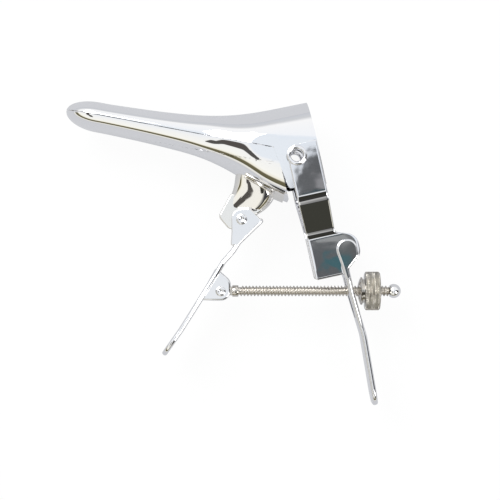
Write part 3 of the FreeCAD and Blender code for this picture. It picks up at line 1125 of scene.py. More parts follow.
@dataclass
class Clamp:
    """Domed collar and knurled nut on the screw.

    Attributes:
        height: Height of the screw's axis.
        collar_start: Start of the collar along X.
        collar_length: Length of the collar.
        collar_radius: Radius of the collar.
        dome: Radius of the collar's dome.
        nut_start: Start of the nut along X.
        nut_length: Length of the nut.
        nut_radius: Radius of the nut over its knurl.
        bore: Radius of both bores.
        collar_edge: Width of the edge between dome and rim.
        groove: Corners of the collar's groove, as (depth, distance from the collar's end).
        dome_steps: Faces of the dome from bore to edge.
        knurls: Number of knurls round the nut.
        knurl_depth: Depth of the knurl.
        knurl_rows: Rows of points over the knurl.
        per_knurl: Points round one knurl.
        chamfer: Width of the nut's plain chamfers.
        bore_chamfer: Width of the chamfer at the nut's bore.
        face_edge: How far the nut's flat faces stay inside the chamfers.
        knurl_edge: How far the knurl's rows stay from the nut's faces.
    """

    height: float = -62.5
    collar_start: float = 29.0
    collar_length: float = 3.3
    collar_radius: float = 6.55
    dome: float = 14.4
    nut_start: float = 32.42
    nut_length: float = 7.14
    nut_radius: float = 9.08
    bore: float = 2.56
    collar_edge: float = 0.25
    groove: tuple = ((0.0, 1.15), (0.25, 0.95), (0.95, 0.85), (0.95, 0.0))
    dome_steps: int = 16
    knurls: int = 46
    knurl_depth: float = 0.48
    knurl_rows: int = 48
    per_knurl: int = 8
    chamfer: float = 0.65
    bore_chamfer: float = 0.3
    face_edge: float = 0.2
    knurl_edge: float = 0.1

    def collar(self) -> bpy.types.Object:
        """Make the domed collar with its groove.

        Returns:
            The collar.
        """
        profile = []
        for radius in np.linspace(self.bore, self.collar_radius - self.collar_edge, self.dome_steps + 1):
            drop = self.dome - math.sqrt(self.dome ** 2 - radius ** 2)
            profile.append((radius, self.collar_start + drop))
        profile.append((self.collar_radius, profile[-1][1] + self.collar_edge))
        reach = self.collar_start + self.collar_length
        profile += [(self.collar_radius - depth, reach - back) for depth, back in self.groove]
        profile += [(self.bore, reach), profile[0]]
        points, faces = lathe(profile, (0, self.height, 0), "x", segments=96)
        return new_object("collar_turned", points, faces)

    def nut(self) -> bpy.types.Object:
        """Make the nut with a diamond knurl between two plain chamfers.

        Returns:
            The nut.
        """
        around = self.knurls * self.per_knurl
        angles = np.linspace(0, 2 * math.pi, around, endpoint=False)

        def ring(radius: Union[float, np.ndarray], x: float) -> np.ndarray:
            """Points round the axis at one place along it."""
            return np.stack([np.full(around, x), radius * np.cos(angles), radius * np.sin(angles)], axis=1)

        start, end = self.nut_start, self.nut_start + self.nut_length
        face = self.nut_radius - self.chamfer - self.face_edge
        mouth = self.bore + self.bore_chamfer
        rings = [ring(self.bore, start + self.bore_chamfer), ring(mouth, start), ring(face, start)]
        twist = 2 * math.pi * self.nut_radius / self.knurls
        turn = angles / (2 * math.pi) * self.knurls
        for x in np.linspace(start + self.knurl_edge, end - self.knurl_edge, self.knurl_rows):
            along = (x - start) / twist
            ridges = [np.abs((phase % 1.0) - 0.5) * 2 for phase in (turn + along, turn - along)]
            cut = np.clip(np.maximum(*ridges) * 1.5 - 0.5, 0, 1)
            slope = self.nut_radius - self.chamfer + min(x - start, end - x)
            rings.append(ring(np.minimum(self.nut_radius - self.knurl_depth * cut, slope), x))
        rings += [ring(face, end), ring(mouth, end), ring(self.bore, end - self.bore_chamfer)]
        points = np.concatenate(rings) + np.array([0, self.height, 0])
        faces = grid_faces(len(rings), around, closed=True)
        last = (len(rings) - 1) * around
        for column in range(around):
            following = (column + 1) % around
            faces.append((last + column, last + following, following, column))
        return new_object("nut_knurled", points, faces, smooth_angle=30.0)

    def build(self) -> None:
        """Make and place the collar and the nut."""
        settle(self.collar(), Body.COLLAR, COLLAR_STEEL, "pressure_collar")
        settle(self.nut(), Body.NUT, NUT_STEEL, "knurled_nut")


def plate_object(name: str, outline: Sequence[Point], low: float, high: float,
                 edge: float) -> bpy.types.Object:
    """Make a flat plate from an outline in the XY plane, with rounded edges.

    Args:
        name: Name of the piece.
        outline: Points of the outline, in order.
        low: Lower face along Z.
        high: Upper face along Z.
        edge: Radius of the rounded edges.

    Returns:
        The plate.
    """
    points = [(x, y, z) for z in (low, high) for x, y in outline]
    piece = new_object(name, points, prism_faces(len(outline)))
    soften(piece, edge)
    return piece


def soften(piece: bpy.types.Object, edge: float) -> None:
    """Round the hard edges of a piece with a bevel that keeps its flat faces flat.

    Args:
        piece: The piece.
        edge: Width of the bevel in millimetres.
    """
    bevel = piece.modifiers.new("rounded_edges", "BEVEL")
    bevel.width = edge * MILLIMETRE
    bevel.segments = 3
    bevel.limit_method = "ANGLE"
    bevel.angle_limit = math.radians(32)
    bevel.harden_normals = True
    bevel.use_clamp_overlap = True


def offset_path(path: Sequence[Point], distance: float) -> list[Point]:
    """Move a path sideways, to the left of its run.

    Args:
        path: Points of the path.
        distance: How far to move it.

    Returns:
        The moved points.
    """
    moved = []
    for index, point in enumerate(path):
        here = Vector(point)
        run_in = (here - Vector(path[index - 1])).normalized() if index else None
        run_out = (Vector(path[index + 1]) - here).normalized() if index + 1 < len(path) else None
        run_in, run_out = run_in or run_out, run_out or run_in
        left_in, left_out = Vector((-run_in.y, run_in.x)), Vector((-run_out.y, run_out.x))
        mitre = (left_in + left_out).normalized()
        moved.append(tuple(here + mitre * (distance / max(mitre.dot(left_in), LEAST_MITRE))))
    return moved


def span_at(outline: Sequence[Point], height: float) -> Point:
    """Lowest and highest first coordinate of an outline at one value of its second.

    Args:
        outline: Points of the outline, in order.
        height: Value of the second coordinate.

    Returns:
        The two ends of the span.
    """
    places = []
    for first, second in zip(outline, list(outline[1:]) + [outline[0]]):
        if (first[1] - height) * (second[1] - height) <= 0 and first[1] != second[1]:
            share = (height - first[1]) / (second[1] - first[1])
            places.append(first[0] + share * (second[0] - first[0]))
    if not places:
        nearest = min(outline, key=lambda point: abs(point[1] - height))
        return nearest[0] - MISSED_SPAN, nearest[0] + MISSED_SPAN
    return min(places), max(places)


@dataclass
class Strap:
    """Strip of metal bent along a line, with rounded edges.

    Attributes:
        name: Name of the piece.
        path: Corners (a, b, radius) of its middle line, in the plane that it bends in.
        thickness: Thickness of the strip.
        span: Lowest and highest lateral place at a point (a, b) of the line.
        place: Turns (a, b, lateral) to the part's frame.
        edge: Radius of its edges.
        step: Length between rows.
        columns: Faces across the strip.
        turns: Faces in a quarter turn of its edges.
        sight: Half the length over which the line's direction is taken.
        least: Least width that a row keeps.
    """

    name: str
    path: Sequence[tuple]
    thickness: float
    span: Callable[[float, float], Point]
    place: Callable[[float, float, float], tuple[float, float, float]]
    edge: float = 0.6
    step: float = 0.6
    columns: int = 2
    turns: int = 4
    sight: float = 0.3
    least: float = 0.02

    def rows(self) -> list[tuple[np.ndarray, np.ndarray, float]]:
        """Rows along the strip.

        Returns:
            (middle point, normal, inset of the edges) of each row.
        """
        line = np.array(rounded_profile([(*c, 0.0)[:3] for c in self.path], 12))
        lengths = np.r_[0, np.cumsum(np.hypot(*np.diff(line, axis=0).T))]
        total = lengths[-1]
        radius = min(self.edge, self.thickness / 2)
        rim = [radius * (1 - math.cos(math.radians(a))) for a in (0, 30, 60, 90)]
        inner = np.linspace(radius, total - radius, max(int(total / self.step), 3))[1:-1]
        places = np.r_[rim, inner, [total - d for d in rim[::-1]]]

        def at(distance: float) -> np.ndarray:
            """Point of the line.

            Args:
                distance: Distance from the line's start, which may lie past its ends.

            Returns:
                The point.
            """
            if distance < 0:
                start = line[0] - line[1]
                return line[0] + start / np.hypot(*start) * -distance
            if distance > total:
                end = line[-1] - line[-2]
                return line[-1] + end / np.hypot(*end) * (distance - total)
            return np.array([np.interp(distance, lengths, line[:, 0]),
                             np.interp(distance, lengths, line[:, 1])])

        rows = []
        for distance in places:
            run = at(distance + self.sight) - at(distance - self.sight)
            run = run / np.hypot(*run)
            near_end = min(distance, total - distance)
            inset = 0.0
            if near_end < radius:
                inset = radius - math.sqrt(max(radius ** 2 - (radius - near_end) ** 2, 0.0))
            rows.append((at(distance), np.array([-run[1], run[0]]), inset))
        return rows

    def ring(self, low: float, high: float, inset: float) -> list[Point]:
        """Section of the strip.

        Args:
            low: Lowest lateral place.
            high: Highest lateral place.
            inset: Inset of the edges.

        Returns:
            (lateral, off the middle) points, as many for every row.
        """
        half = self.thickness / 2 - inset
        low, high = low + inset, high - inset
        if high < low + self.least:
            low, high = (low + high - self.least) / 2, (low + high + self.least) / 2
        radius = min(max(self.edge - inset, self.least), half, (high - low) / 2)
        flat = np.linspace(low + radius, high - radius, self.columns + 1)
        top = [(float(lateral), half) for lateral in flat]
        under = [(float(lateral), -half) for lateral in flat[::-1]]
        arcs = []
        for side, start in ((high - radius, 90.0), (low + radius, 270.0)):
            arc = []
            for index in range(1, 2 * self.turns):
                angle = math.radians(start - 90.0 * index / self.turns)
                rise = math.copysign(half - radius, math.sin(angle))
                arc.append((side + radius * math.cos(angle), rise + radius * math.sin(angle)))
            arcs.append(arc)
        return top + arcs[0] + under + arcs[1]

    def build(self) -> bpy.types.Object:
        """Make the strip.

        Returns:
            The strip.
        """
        points = []
        rows = self.rows()
        for middle, normal, inset in rows:
            for lateral, off in self.ring(*self.span(*middle), inset):
                points.append(self.place(*(middle + normal * off), lateral))
        faces = tube_faces(len(rows), len(points) // len(rows))
        return new_object(self.name, points, faces, smooth_angle=35.0)


def carve(piece: bpy.types.Object, cutter: bpy.types.Object) -> None:
    """Cut one piece by another and throw the cutter away.

    Args:
        piece: The piece to cut.
        cutter: The piece that is taken out of it.
    """
    cut = piece.modifiers.new("cut", "BOOLEAN")
    cut.operation = "DIFFERENCE"
    cut.solver = "EXACT"
    cut.object = cutter
    view = bpy.context.evaluated_depsgraph_get()
    view.update()
    carved = bpy.data.meshes.new_from_object(piece.evaluated_get(view))
    piece.modifiers.clear()
    piece.data = carved
    bpy.data.objects.remove(cutter)


def leaned(x: float, y: float) -> Point:
    """A point of the yoke's upright frame, in the part's frame."""
    angle = math.radians(YOKE_LEAN)
    return x * math.cos(angle) - y * math.sin(angle), x * math.sin(angle) + y * math.cos(angle)


@dataclass
class Yoke:
    """The two arms of the yoke, with the hollow rivets of the hinge.

    Attributes:
        thickness: Thickness of an arm.
        high: Height of its middle at the hinge.
        low: Height of its middle at the handle.
        top: Upper end of the arm.
        bend_start: Where the step starts.
        bend_end: Where it ends.
        bend_radius: Radius of both its bends.
        bottom: Lower end of the arm.
        outline: Outline of the arm, in the yoke's upright frame.
        hole: Radius of the hole under the rivet's flange.
        rivet_bore: Radius of the rivet's bore.
        rivet_flange: Radius of its flanges.
        rivet_barrel: Outer radius of its barrel.
        rivet_low: Inner end of the rivet along Z.
        rivet_seat: Height at which its inner flange's round starts.
        rivet_face: Height at which its outer flange's round starts.
        rivet_top: Outer end of the rivet.
        rivet_sink: How far under that the outer flange's flat side lies.
        rivet_steps: Faces over a flange.
        rivet_fullness: Power of the flanges' section, under 1 for a fuller one than a circle.
    """

    thickness: float = 2.0
    high: float = 20.05
    low: float = 9.5
    top: float = 5.3
    bend_start: float = -20.5
    bend_end: float = -37.0
    bend_radius: float = 8.0
    bottom: float = -58.1
    outline: tuple = ((-4.2, 4.8, 4.6), (4.8, 4.8, 2.0), (10.2, 5.4, 0.4), (10.2, -38.0, 2.0),
                      (19.8, -41.0, 6.08), (19.8, -53.8, 6.08), (10.2, -53.8, 0.3),
                      (10.2, -58.1, 0.5), (-3.4, -58.1, 1.2), (-3.4, -37.0, 2.0),
                      (-4.2, -20.5, 2.0))
    hole: float = 3.9
    rivet_bore: float = 2.8
    rivet_flange: float = 4.68
    rivet_barrel: float = 3.6
    rivet_low: float = 15.06
    rivet_seat: float = 16.14
    rivet_face: float = 21.11
    rivet_top: float = 22.14
    rivet_sink: float = 0.02
    rivet_steps: int = 12
    rivet_fullness: float = 0.8

    def arm(self, side: Side) -> bpy.types.Object:
        """Make one arm.

        Args:
            side: Side that it stands on.

        Returns:
            The arm.
        """
        edge = rounded_outline(self.outline, 12)
        path = [(self.top, self.high), (self.bend_start, self.high, self.bend_radius),
                (self.bend_end, self.low, self.bend_radius), (self.bottom, self.low)]
        arm = Strap(f"arm_{side.name.lower()}", path, self.thickness, lambda y, z: span_at(edge, y),
                    lambda y, z, x: (*leaned(x, y), side.value * z),
                    edge=0.55, step=0.5, columns=26).build()
        pierce(arm, (0.0, 0.0), self.hole)
        return arm

    def rivet(self, side: Side) -> bpy.types.Object:
        """Make one hollow rivet with its rolled flanges.

        Args:
            side: Side that it stands on.

        Returns:
            The rivet.
        """
        bore, flange, barrel = self.rivet_bore, self.rivet_flange, self.rivet_barrel
        middle, half = (bore + flange) / 2, (flange - bore) / 2
        face = self.rivet_face - self.rivet_sink
        turn = [math.pi * index / self.rivet_steps for index in range(self.rivet_steps + 1)]
        outer, inner = self.rivet_top - self.rivet_face, self.rivet_seat - self.rivet_low
        profile = [(middle - half * math.cos(angle),
                    self.rivet_face + outer * math.sin(angle) ** self.rivet_fullness) for angle in turn]
        profile += [(flange, face), (barrel, face), (barrel, self.rivet_seat)]
        profile += [(middle + half * math.cos(angle),
                     self.rivet_seat - inner * math.sin(angle) ** self.rivet_fullness) for angle in turn]
        profile.append(profile[0])
        profile = [(radius, side.value * along) for radius, along in profile]
        points, faces = lathe(profile, (0, 0, 0), "z", segments=96)
        return new_object(f"rivet_{side.name.lower()}", points, faces, smooth_angle=50.0)

    def build(self) -> None:
        """Make and place both arms and both rivets."""
        for side in Side:
            settle(self.arm(side), Body.FRAME, FRAME_STEEL, f"yoke_arm_{side.name.lower()}")
        for side in Side:
            settle(self.rivet(side), Body.FRAME, RIVET_STEEL, f"hinge_eyelet_{side.name.lower()}")


@dataclass
class Handle:
    """Thumb handle: a slotted plate with two round cheeks.

    Attributes:
        thickness: Thickness of the plate.
        path: Middle line of the plate, in the yoke's upright frame.
        widths: Outline of the plate's half width as (width, height, radius).
        slot_half: Half the width of the slot.
        slot_high: Upper end of the slot.
        slot_low: Lower end of the slot.
        slot_reach: Where the slot's cutter starts and ends, across the plate.
        cheek: Outline of a cheek.
        cheek_low: Inner face of a cheek.
        cheek_high: Outer face of a cheek.
        cheek_edge: Radius of a cheek's edges.
    """

    thickness: float = 2.5
    path: tuple = ((11.5, -54.8), (11.5, -66.8, 30.0), (13.1, -88.0, 30.0), (11.5, -121.2))
    widths: tuple = ((12.9, -50.8), (12.9, -60.8, 8.0), (8.6, -82.6, 25.0), (10.0, -121.2, 7.5))
    slot_half: float = 3.1
    slot_high: float = -59.6
    slot_low: float = -79.6
    slot_reach: tuple = (6.0, 20.0)
    cheek: tuple = ((8.2, -42.2, 4.7), (18.6, -42.2, 4.7), (18.6, -50.8, 3.5), (12.75, -55.8, 2.0),
                    (12.75, -60.8), (10.25, -60.8), (9.65, -52.8, 4.0))
    cheek_low: float = 10.7
    cheek_high: float = 12.9
    cheek_edge: float = 0.9

    def plate(self) -> bpy.types.Object:
        """Make the slotted plate.

        Returns:
            The plate.
        """
        edge = mirrored_outline(self.widths)
        plate = Strap("thumb_plate", self.path, self.thickness, lambda x, y: span_at(edge, y),
                      lambda x, y, z: (*leaned(x, y), z), edge=1.2, step=0.8, columns=4).build()
        half, high, low = self.slot_half, self.slot_high, self.slot_low
        arc = half * NEARLY_ROUND
        slot = rounded_outline([(half, high, arc), (half, low, arc), (-half, low, arc),
                                (-half, high, arc)], 10)
        points = [(*leaned(x, y), z) for x in self.slot_reach for z, y in slot]
        carve(plate, new_object("slot_cutter", points, prism_faces(len(slot))))
        soften(plate, 0.35)
        return plate

    def build(self) -> None:
        """Make and place the plate and its cheeks."""
        settle(self.plate(), Body.FRAME, HANDLE_STEEL, "thumb_handle")
        outline = [leaned(x, y) for x, y in rounded_outline(self.cheek, 10)]
        for side in Side:
            low, high = sorted((side.value * self.cheek_low, side.value * self.cheek_high))
            cheek = plate_object(f"cheek_{side.name.lower()}", outline, low, high, self.cheek_edge)
            settle(cheek, Body.FRAME, HANDLE_STEEL, "thumb_handle")


@dataclass
class Lever:
    """Finger lever: a bent strip with a fork at the neck and two lugs at the screw.

    Attributes:
        thickness: Thickness of the strip.
        path: Upper left face of the strip, from the fork down.
        bend_radius: Radius of its bends.
        widths: Outline of the strip's half width as (width, height, radius).
        fork: Outline of a fork cheek.
        fork_low: Inner face of a fork cheek.
        fork_high: Outer face of a fork cheek.
        fork_edge: Radius of a fork cheek's edges.
        lug: Outline of a lug.
        lug_low: Inner face of a lug.
        lug_high: Outer face of a lug.
        lug_edge: Radius of a lug's edges.
    """

    thickness: float = 2.4
    path: tuple = ((-16.4, -28.0), (-27.6, -38.8), (-30.4, -43.2), (-34.9, -48.2), (-37.8, -53.2),
                   (-46.2, -66.6), (-54.8, -80.2), (-62.9, -91.7))
    bend_radius: float = 4.0
    widths: tuple = ((6.4, 0.0), (6.4, -48.0, 20.0), (9.5, -66.0, 25.0), (9.5, -92.6, 7.6))
    fork: tuple = ((-30.2, -24.3, 4.4), (-21.2, -24.1, 3.2), (-15.9, -29.4, 0.6),
                   (-26.9, -41.2, 0.6), (-30.4, -41.2, 1.0), (-30.0, -35.0, 6.0))
    fork_low: float = 4.2
    fork_high: float = 6.4
    fork_edge: float = 0.6
    lug: tuple = ((-37.4, -51.6), (-30.5, -57.6, 4.6), (-30.5, -66.9, 4.4), (-39.0, -66.9, 6.0),
                  (-45.8, -66.6))
    lug_low: float = 2.3
    lug_high: float = 5.3
    lug_edge: float = 0.9

    def strip(self) -> bpy.types.Object:
        """Make the bent strip.

        Returns:
            The strip.
        """
        edge = mirrored_outline(self.widths)
        middle = offset_path(self.path, self.thickness / 2)
        path = [middle[0], *((*point, self.bend_radius) for point in middle[1:-1]), middle[-1]]
        return Strap("lever_strip", path, self.thickness, lambda x, y: span_at(edge, y),
                     lambda x, y, z: (x, y, z), edge=1.15, step=0.7, columns=4).build()

    def build(self) -> None:
        """Make and place the strip, its fork and its lugs."""
        settle(self.strip(), Body.JAW, LEVER_STEEL, "finger_lever")
        fork, lug = rounded_outline(self.fork, 10), rounded_outline(self.lug, 10)
        for side in Side:
            for name, outline, low, high, edge in (
                    ("fork", fork, self.fork_low, self.fork_high, self.fork_edge),
                    ("lug", lug, self.lug_low, self.lug_high, self.lug_edge)):
                low, high = sorted((side.value * low, side.value * high))
                plate = plate_object(f"{name}_{side.name.lower()}", outline, low, high, edge)
                settle(plate, Body.JAW, LEVER_STEEL, "finger_lever")


@dataclass
class Neck:
    """Forged neck under the lower blade, with its tongue and saddle.

    Attributes:
        left: Left edge of its sections in the side view.
        right: Right edge of its sections.
        half: Half thickness of its sections.
        tongue: Outline of the tongue.
        tongue_half: Half the tongue's thickness.
        tongue_edge: Radius of the tongue's edges.
        squareness: Power of its sections, under 1 for squarer ones than an ellipse.
        around: Points round a section.
        rows: Number of sections.
        start: Share of the way from blade to tongue at which the first one lies.
    """

    left: tuple = ((-27.4, -3.0), (-28.3, -9.0), (-29.0, -13.6), (-30.6, -18.2), (-32.6, -21.8))
    right: tuple = ((-7.5, -12.5), (-9.6, -18.0), (-12.0, -22.0), (-15.2, -25.0), (-18.6, -27.0))
    half: tuple = (9.5, 8.6, 7.0, 5.4, 4.2)
    tongue: tuple = ((-30.4, -17.0), (-36.3, -27.6, 2.6), (-31.4, -33.4, 3.2), (-24.8, -33.6, 4.2),
                     (-18.9, -26.9, 1.2), (-15.2, -24.8), (-22.0, -17.0))
    tongue_half: float = 4.0
    tongue_edge: float = 0.7
    squareness: float = 0.75
    around: int = 64
    rows: int = 44
    start: float = 0.12

    def body(self) -> bpy.types.Object:
        """Make the flared body between blade and tongue.

        Returns:
            The body.
        """
        places = np.linspace(0, 1, len(self.half))
        curves = [smooth_curve(places, values) for values in
                  (*np.array(self.left).T, *np.array(self.right).T, self.half)]
        angles = np.linspace(0, 2 * math.pi, self.around, endpoint=False)
        along, across = (np.sign(wave) * np.abs(wave) ** self.squareness
                         for wave in (np.cos(angles), np.sin(angles)))
        rings = []
        for share in np.linspace(self.start, 1, self.rows):
            left_x, left_y, right_x, right_y, half = (float(curve(share)) for curve in curves)
            middle = np.array([(left_x + right_x) / 2, (left_y + right_y) / 2])
            arm = np.array([(right_x - left_x) / 2, (right_y - left_y) / 2])
            rings.append(np.c_[middle + along[:, None] * arm, half * across])
        faces = tube_faces(self.rows, self.around)
        return new_object("neck_body", np.concatenate(rings), faces, smooth_angle=60.0)

    def build(self, blades: Blades) -> None:
        """Make and place the body, the tongue and the saddle.

        Args:
            blades: The blades, which the saddle follows.
        """
        settle(self.body(), Body.JAW, NECK_STEEL, "blade_neck")
        tongue = plate_object("neck_tongue", rounded_outline(self.tongue, 10), -self.tongue_half,
                              self.tongue_half, self.tongue_edge)
        settle(tongue, Body.JAW, NECK_STEEL, "blade_neck")
        settle(blades.saddle_plate(), Body.JAW, NECK_STEEL, "blade_neck")


@dataclass
class Pin:
    """Riveted pin along Z with a low domed head at each end.

    Attributes:
        name: Name of the piece.
        node: CAD node that it stands for.
        center: Its place in X and Y.
        radius: Radius of its stem.
        head: Radius of its heads.
        seat: Height of the faces that the heads lie on.
        rise: Height of a head.
        body: Body that it rides on.
        gap: Gap between a head and the face under it.
        section: Section of a head, as (share of its radius, depth under its top).
        skirt: Height of a head's straight rim.
    """

    name: str
    node: str
    center: tuple
    radius: float
    head: float
    seat: float
    rise: float = 0.7
    body: Body = Body.JAW
    gap: float = 0.05
    section: tuple = ((0.35, 0.22), (0.45, 0.05), (0.55, 0.0), (0.75, 0.08), (0.92, 0.28))
    skirt: float = 0.12

    def build(self) -> None:
        """Make and place the pin."""
        seat = self.seat + self.gap
        top = seat + self.rise
        upper = [(AXIS, top - self.section[0][1])]
        upper += [(share * self.head, top - depth) for share, depth in self.section]
        upper += [(self.head, seat + self.skirt), (self.head, seat), (self.radius, seat)]
        profile = upper + [(radius, -along) for radius, along in upper[::-1]]
        points, faces = lathe(profile, (*self.center, 0), "z", segments=64)
        pin = new_object(self.name, points, faces, smooth_angle=50.0)
        settle(pin, self.body, PIN_STEEL, self.node)


@dataclass
class Studio:
    """Floor, lights, world and camera.

    Attributes:
        mirrored_floor_shade: Grey that the floor glows with in the metal's reflections alone, a painted
            shade in place of the lit floor that the metal mirrors.
        mirrored_share: Share of that colour in what the metal mirrors of it.
        floor_white: Share of plain white in the floor that the camera sees.
        floor_half: Half the floor's side, in metres.
        floor_drop: Gap between part and floor, in metres.
        north: Colours of the room behind the upper blade, by height.
        south: Colours of the room behind the lower blade, by height.
        side_slope: How fast the room turns from south to north over y.
        side_middle: Share of the north side straight overhead.
        horizon: Height in the room under which no lobe shows.
        least_height: Height under which the slopes grow no more.
        squareness: Power of the lobes' outline; 2 is an ellipse.
        lobes: Patches as (centre, half sizes, softness, colour), in slopes from the zenith.
        lamps: Lights as (name, place, size, power), in metres and watts, aimed at the origin.
        clip: Nearest and furthest distance that the camera sees, in metres.
    """

    mirrored_floor_shade: tuple = (0.56, 0.57, 0.60)
    mirrored_share: float = 0.85
    floor_white: float = 0.93
    floor_half: float = 3.0
    floor_drop: float = 0.0002
    north: tuple = ((0.0, (0.60, 0.62, 0.66)), (0.22, (0.66, 0.67, 0.69)), (0.36, (1.0, 1.0, 1.0)),
                    (0.90, (0.95, 0.97, 1.0)), (1.0, (0.80, 0.86, 0.93)))
    south: tuple = ((0.0, (0.72, 0.71, 0.68)), (0.12, (0.95, 0.93, 0.86)), (0.145, (0.12, 0.11, 0.06)),
                    (0.33, (0.16, 0.14, 0.08)), (0.38, (0.92, 0.88, 0.74)), (0.50, (1.0, 0.99, 0.93)),
                    (0.90, (0.96, 0.96, 0.94)), (1.0, (0.92, 0.94, 0.96)))
    side_slope: float = 5.0
    side_middle: float = 0.35
    horizon: float = 0.03
    least_height: float = 0.02
    squareness: float = 4.0
    lobes: tuple = (((0.070, 0.016), (0.041, 0.053), 0.10, (0.12, 0.125, 0.13)),
                    ((0.050, 0.026), (0.010, 0.012), 0.5, (0.05, 0.08, 0.09)),
                    ((0.058, -0.008), (0.010, 0.005), 0.5, (0.06, 0.14, 0.16)),
                    ((0.060, 0.046), (0.016, 0.006), 0.5, (0.30, 0.30, 0.31)),
                    ((0.052, 0.008), (0.016, 0.004), 0.5, (0.34, 0.35, 0.35)),
                    ((0.10, -0.46), (0.15, 0.34), 0.25, (0.035, 0.035, 0.028)),
                    ((0.42, -1.95), (0.45, 0.42), 0.4, (0.05, 0.05, 0.04)),
                    ((2.30, -0.75), (2.05, 1.15), 0.3, (0.05, 0.05, 0.055)),
                    ((-0.64, -0.18), (0.15, 0.24), 0.3, (0.09, 0.08, 0.075)),
                    ((-0.52, -0.54), (0.14, 0.26), 0.3, (0.09, 0.085, 0.08)))
    lamps: tuple = (("key_light", (-0.5, 0.6, 1.0), (0.7, 0.7), 9.0),
                    ("fill_light", (0.7, -0.5, 0.9), (0.5, 0.9), 5.0))
    clip: tuple = (0.05, 20.0)

    def floor(self) -> None:
        """Lay a pale floor under the part that the camera sees as white, and that glows with painted grey
        shade in the metal's reflections.
        """
        half, z = self.floor_half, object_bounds()[0].z - self.floor_drop
        mesh = bpy.data.meshes.new("floor")
        mesh.from_pydata([(-half, -half, z), (half, -half, z), (half, half, z), (-half, half, z)],
                         [], [(0, 1, 2, 3)])
        floor = bpy.data.objects.new("floor", mesh)
        bpy.context.scene.collection.objects.link(floor)
        material = bpy.data.materials.new("floor_paper")
        material.use_nodes = True
        kit = NodeKit(material.node_tree)
        paper = kit.nodes["Principled BSDF"]
        kit.feed(paper.inputs["Base Color"], (0.9, 0.9, 0.9))
        kit.feed(paper.inputs["Roughness"], 0.8)
        rays = kit.add("ShaderNodeLightPath").outputs
        seen = kit.math("ADD", rays["Is Camera Ray"], rays["Is Transmission Ray"], True)
        surface = paper.outputs[0]
        # For glossy rays the floor glows a fixed grey: painted shade of the floor in the metal's
        # reflections.
        for ray, share, color in ((rays["Is Glossy Ray"], self.mirrored_share, self.mirrored_floor_shade),
                                  (seen, self.floor_white, (1.0, 1.0, 1.0))):
            glow = kit.add("ShaderNodeEmission")
            kit.feed(glow.inputs["Color"], color)
            mix = kit.add("ShaderNodeMixShader")
            kit.feed(mix.inputs["Fac"], kit.math("MULTIPLY", ray, share))
            kit.feed(mix.inputs[1], surface)
            kit.feed(mix.inputs[2], glow.outputs[0])
            surface = mix.outputs[0]
        kit.feed(kit.nodes["Material Output"].inputs["Surface"], surface)
        mesh.materials.append(material)
        floor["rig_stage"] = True

    def ramp(self, kit: NodeKit, height: Feed, stops: Sequence[tuple]) -> bpy.types.NodeSocket:
        """Output of a colour ramp over the height in the room.

        Args:
            kit: Node kit of the world.
            height: Height of the looked-at point, from 0 at the horizon to 1 at the zenith.
            stops: (height, colour) of each stop.

        Returns:
            The output.
        """
        node = kit.add("ShaderNodeValToRGB")
        elements = node.color_ramp.elements
        elements[0].position, elements[1].position = stops[0][0], stops[-1][0]
        for place, _ in stops[1:-1]:
            elements.new(place)
        for element, (_, color) in zip(elements, stops):
            element.color = (*color, 1.0)
        kit.feed(node.inputs["Fac"], height)
        return node.outputs["Color"]

    def world(self) -> None:
        """Light the room: a white tent, grey to the north, with an olive line south and dark lobes."""
        world = bpy.data.worlds.new("studio")
        bpy.context.scene.world = world
        world.use_nodes = True
        kit = NodeKit(world.node_tree)
        split = kit.add("ShaderNodeSeparateXYZ")
        kit.feed(split.inputs[0], kit.add("ShaderNodeTexCoord").outputs["Generated"])
        x, y, z = split.outputs
        north = kit.math("ADD", kit.math("MULTIPLY", y, self.side_slope), self.side_middle, True)
        color = kit.mix(north, self.ramp(kit, z, self.south), self.ramp(kit, z, self.north))
        height = kit.math("MAXIMUM", z, self.least_height)
        slopes = kit.math("DIVIDE", x, height), kit.math("DIVIDE", y, height)
        above = kit.math("GREATER_THAN", z, self.horizon)
        for center, half_sizes, softness, shade in self.lobes:
            powers = []
            for slope, middle, half in zip(slopes, center, half_sizes):
                off = kit.math("DIVIDE", kit.math("SUBTRACT", slope, middle), half)
                powers.append(kit.math("POWER", kit.math("ABSOLUTE", off), self.squareness))
            edge = kit.math("SUBTRACT", 1.0 + softness, kit.math("ADD", *powers))
            inside = kit.math("DIVIDE", edge, 2 * softness, True)
            color = kit.mix(kit.math("MULTIPLY", inside, above), color, shade)
        background = kit.nodes["Background"]
        kit.feed(background.inputs["Color"], color)
        kit.feed(background.inputs["Strength"], 1.0)

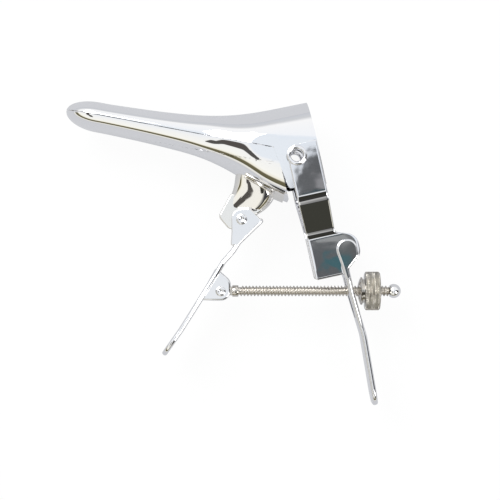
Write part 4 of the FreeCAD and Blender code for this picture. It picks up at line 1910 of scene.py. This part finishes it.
    def light(self, name: str, place: Sequence[float], size: Sequence[float], power: float) -> None:
        """Hang one soft rectangular light that faces the origin.

        Args:
            name: Name of the light.
            place: Where it hangs, in metres.
            size: Its two sides, in metres.
            power: Its power in watts.
        """
        data = bpy.data.lights.new(name, "AREA")
        data.shape = "RECTANGLE"
        data.size, data.size_y = size
        data.energy = power
        lamp = bpy.data.objects.new(name, data)
        lamp.location = place
        lamp.rotation_euler = (-Vector(place)).to_track_quat("-Z", "Y").to_euler()
        bpy.context.scene.collection.objects.link(lamp)

    def camera(self) -> None:
        """Hang the camera straight over the picture's middle, the hinge at its place in the photo."""
        data = bpy.data.cameras.new("camera")
        camera = bpy.data.objects.new("camera", data)
        bpy.context.scene.collection.objects.link(camera)
        closer = (CAMERA_DISTANCE - HINGE_NEAR_FACE) / CAMERA_DISTANCE * MILLIMETRES_PER_PIXEL
        center = PHOTO_SIDE / 2
        place = ((center - PHOTO_HINGE[0]) * closer, (PHOTO_HINGE[1] - center) * closer, CAMERA_DISTANCE)
        camera.location = Vector(place) * MILLIMETRE
        data.lens = data.sensor_width * CAMERA_DISTANCE / (PHOTO_SIDE * MILLIMETRES_PER_PIXEL)
        data.clip_start, data.clip_end = self.clip
        bpy.context.scene.camera = camera

    def build(self) -> None:
        """Set up the whole studio."""
        self.floor()
        self.world()
        for lamp in self.lamps:
            self.light(*lamp)
        self.camera()
        bpy.context.scene.view_settings.view_transform = "Standard"


PINS = (Pin("lever_rivet", "lever_fold_pin", (-25.3, -28.9), 1.7, 2.56, 6.4),
        Pin("screw_rivet", "screw_pivot_pin", (-35.1, -62.5), 1.5, 2.36, 5.3),
        Pin("handle_rivet", "handle_fold_pin", leaned(13.4, -47.4), 1.9, 2.0, 12.5,
            rise=0.25, body=Body.FRAME))


def dress_kept_nodes() -> None:
    """Put finishes on the CAD nodes that stay."""
    WARDROBE.dress(frame["nodes"]["yoke_bridge"], FRAME_STEEL)


def main() -> None:
    """Build the speculum and its studio."""
    logging.basicConfig(level=logging.INFO, format="%(name)s: %(message)s")
    blades = Blades()
    settle(blades.build(Half.UPPER), Body.FRAME, BLADE_STEEL, "upper_blade")
    settle(blades.build(Half.LOWER), Body.JAW, BLADE_STEEL, "lower_blade")
    Yoke().build()
    Handle().build()
    Lever().build()
    Neck().build(blades)
    for pin in PINS:
        pin.build()
    Screw().build()
    Clamp().build()
    dress_kept_nodes()
    Studio().build()


if __name__ == "__main__":
    main()
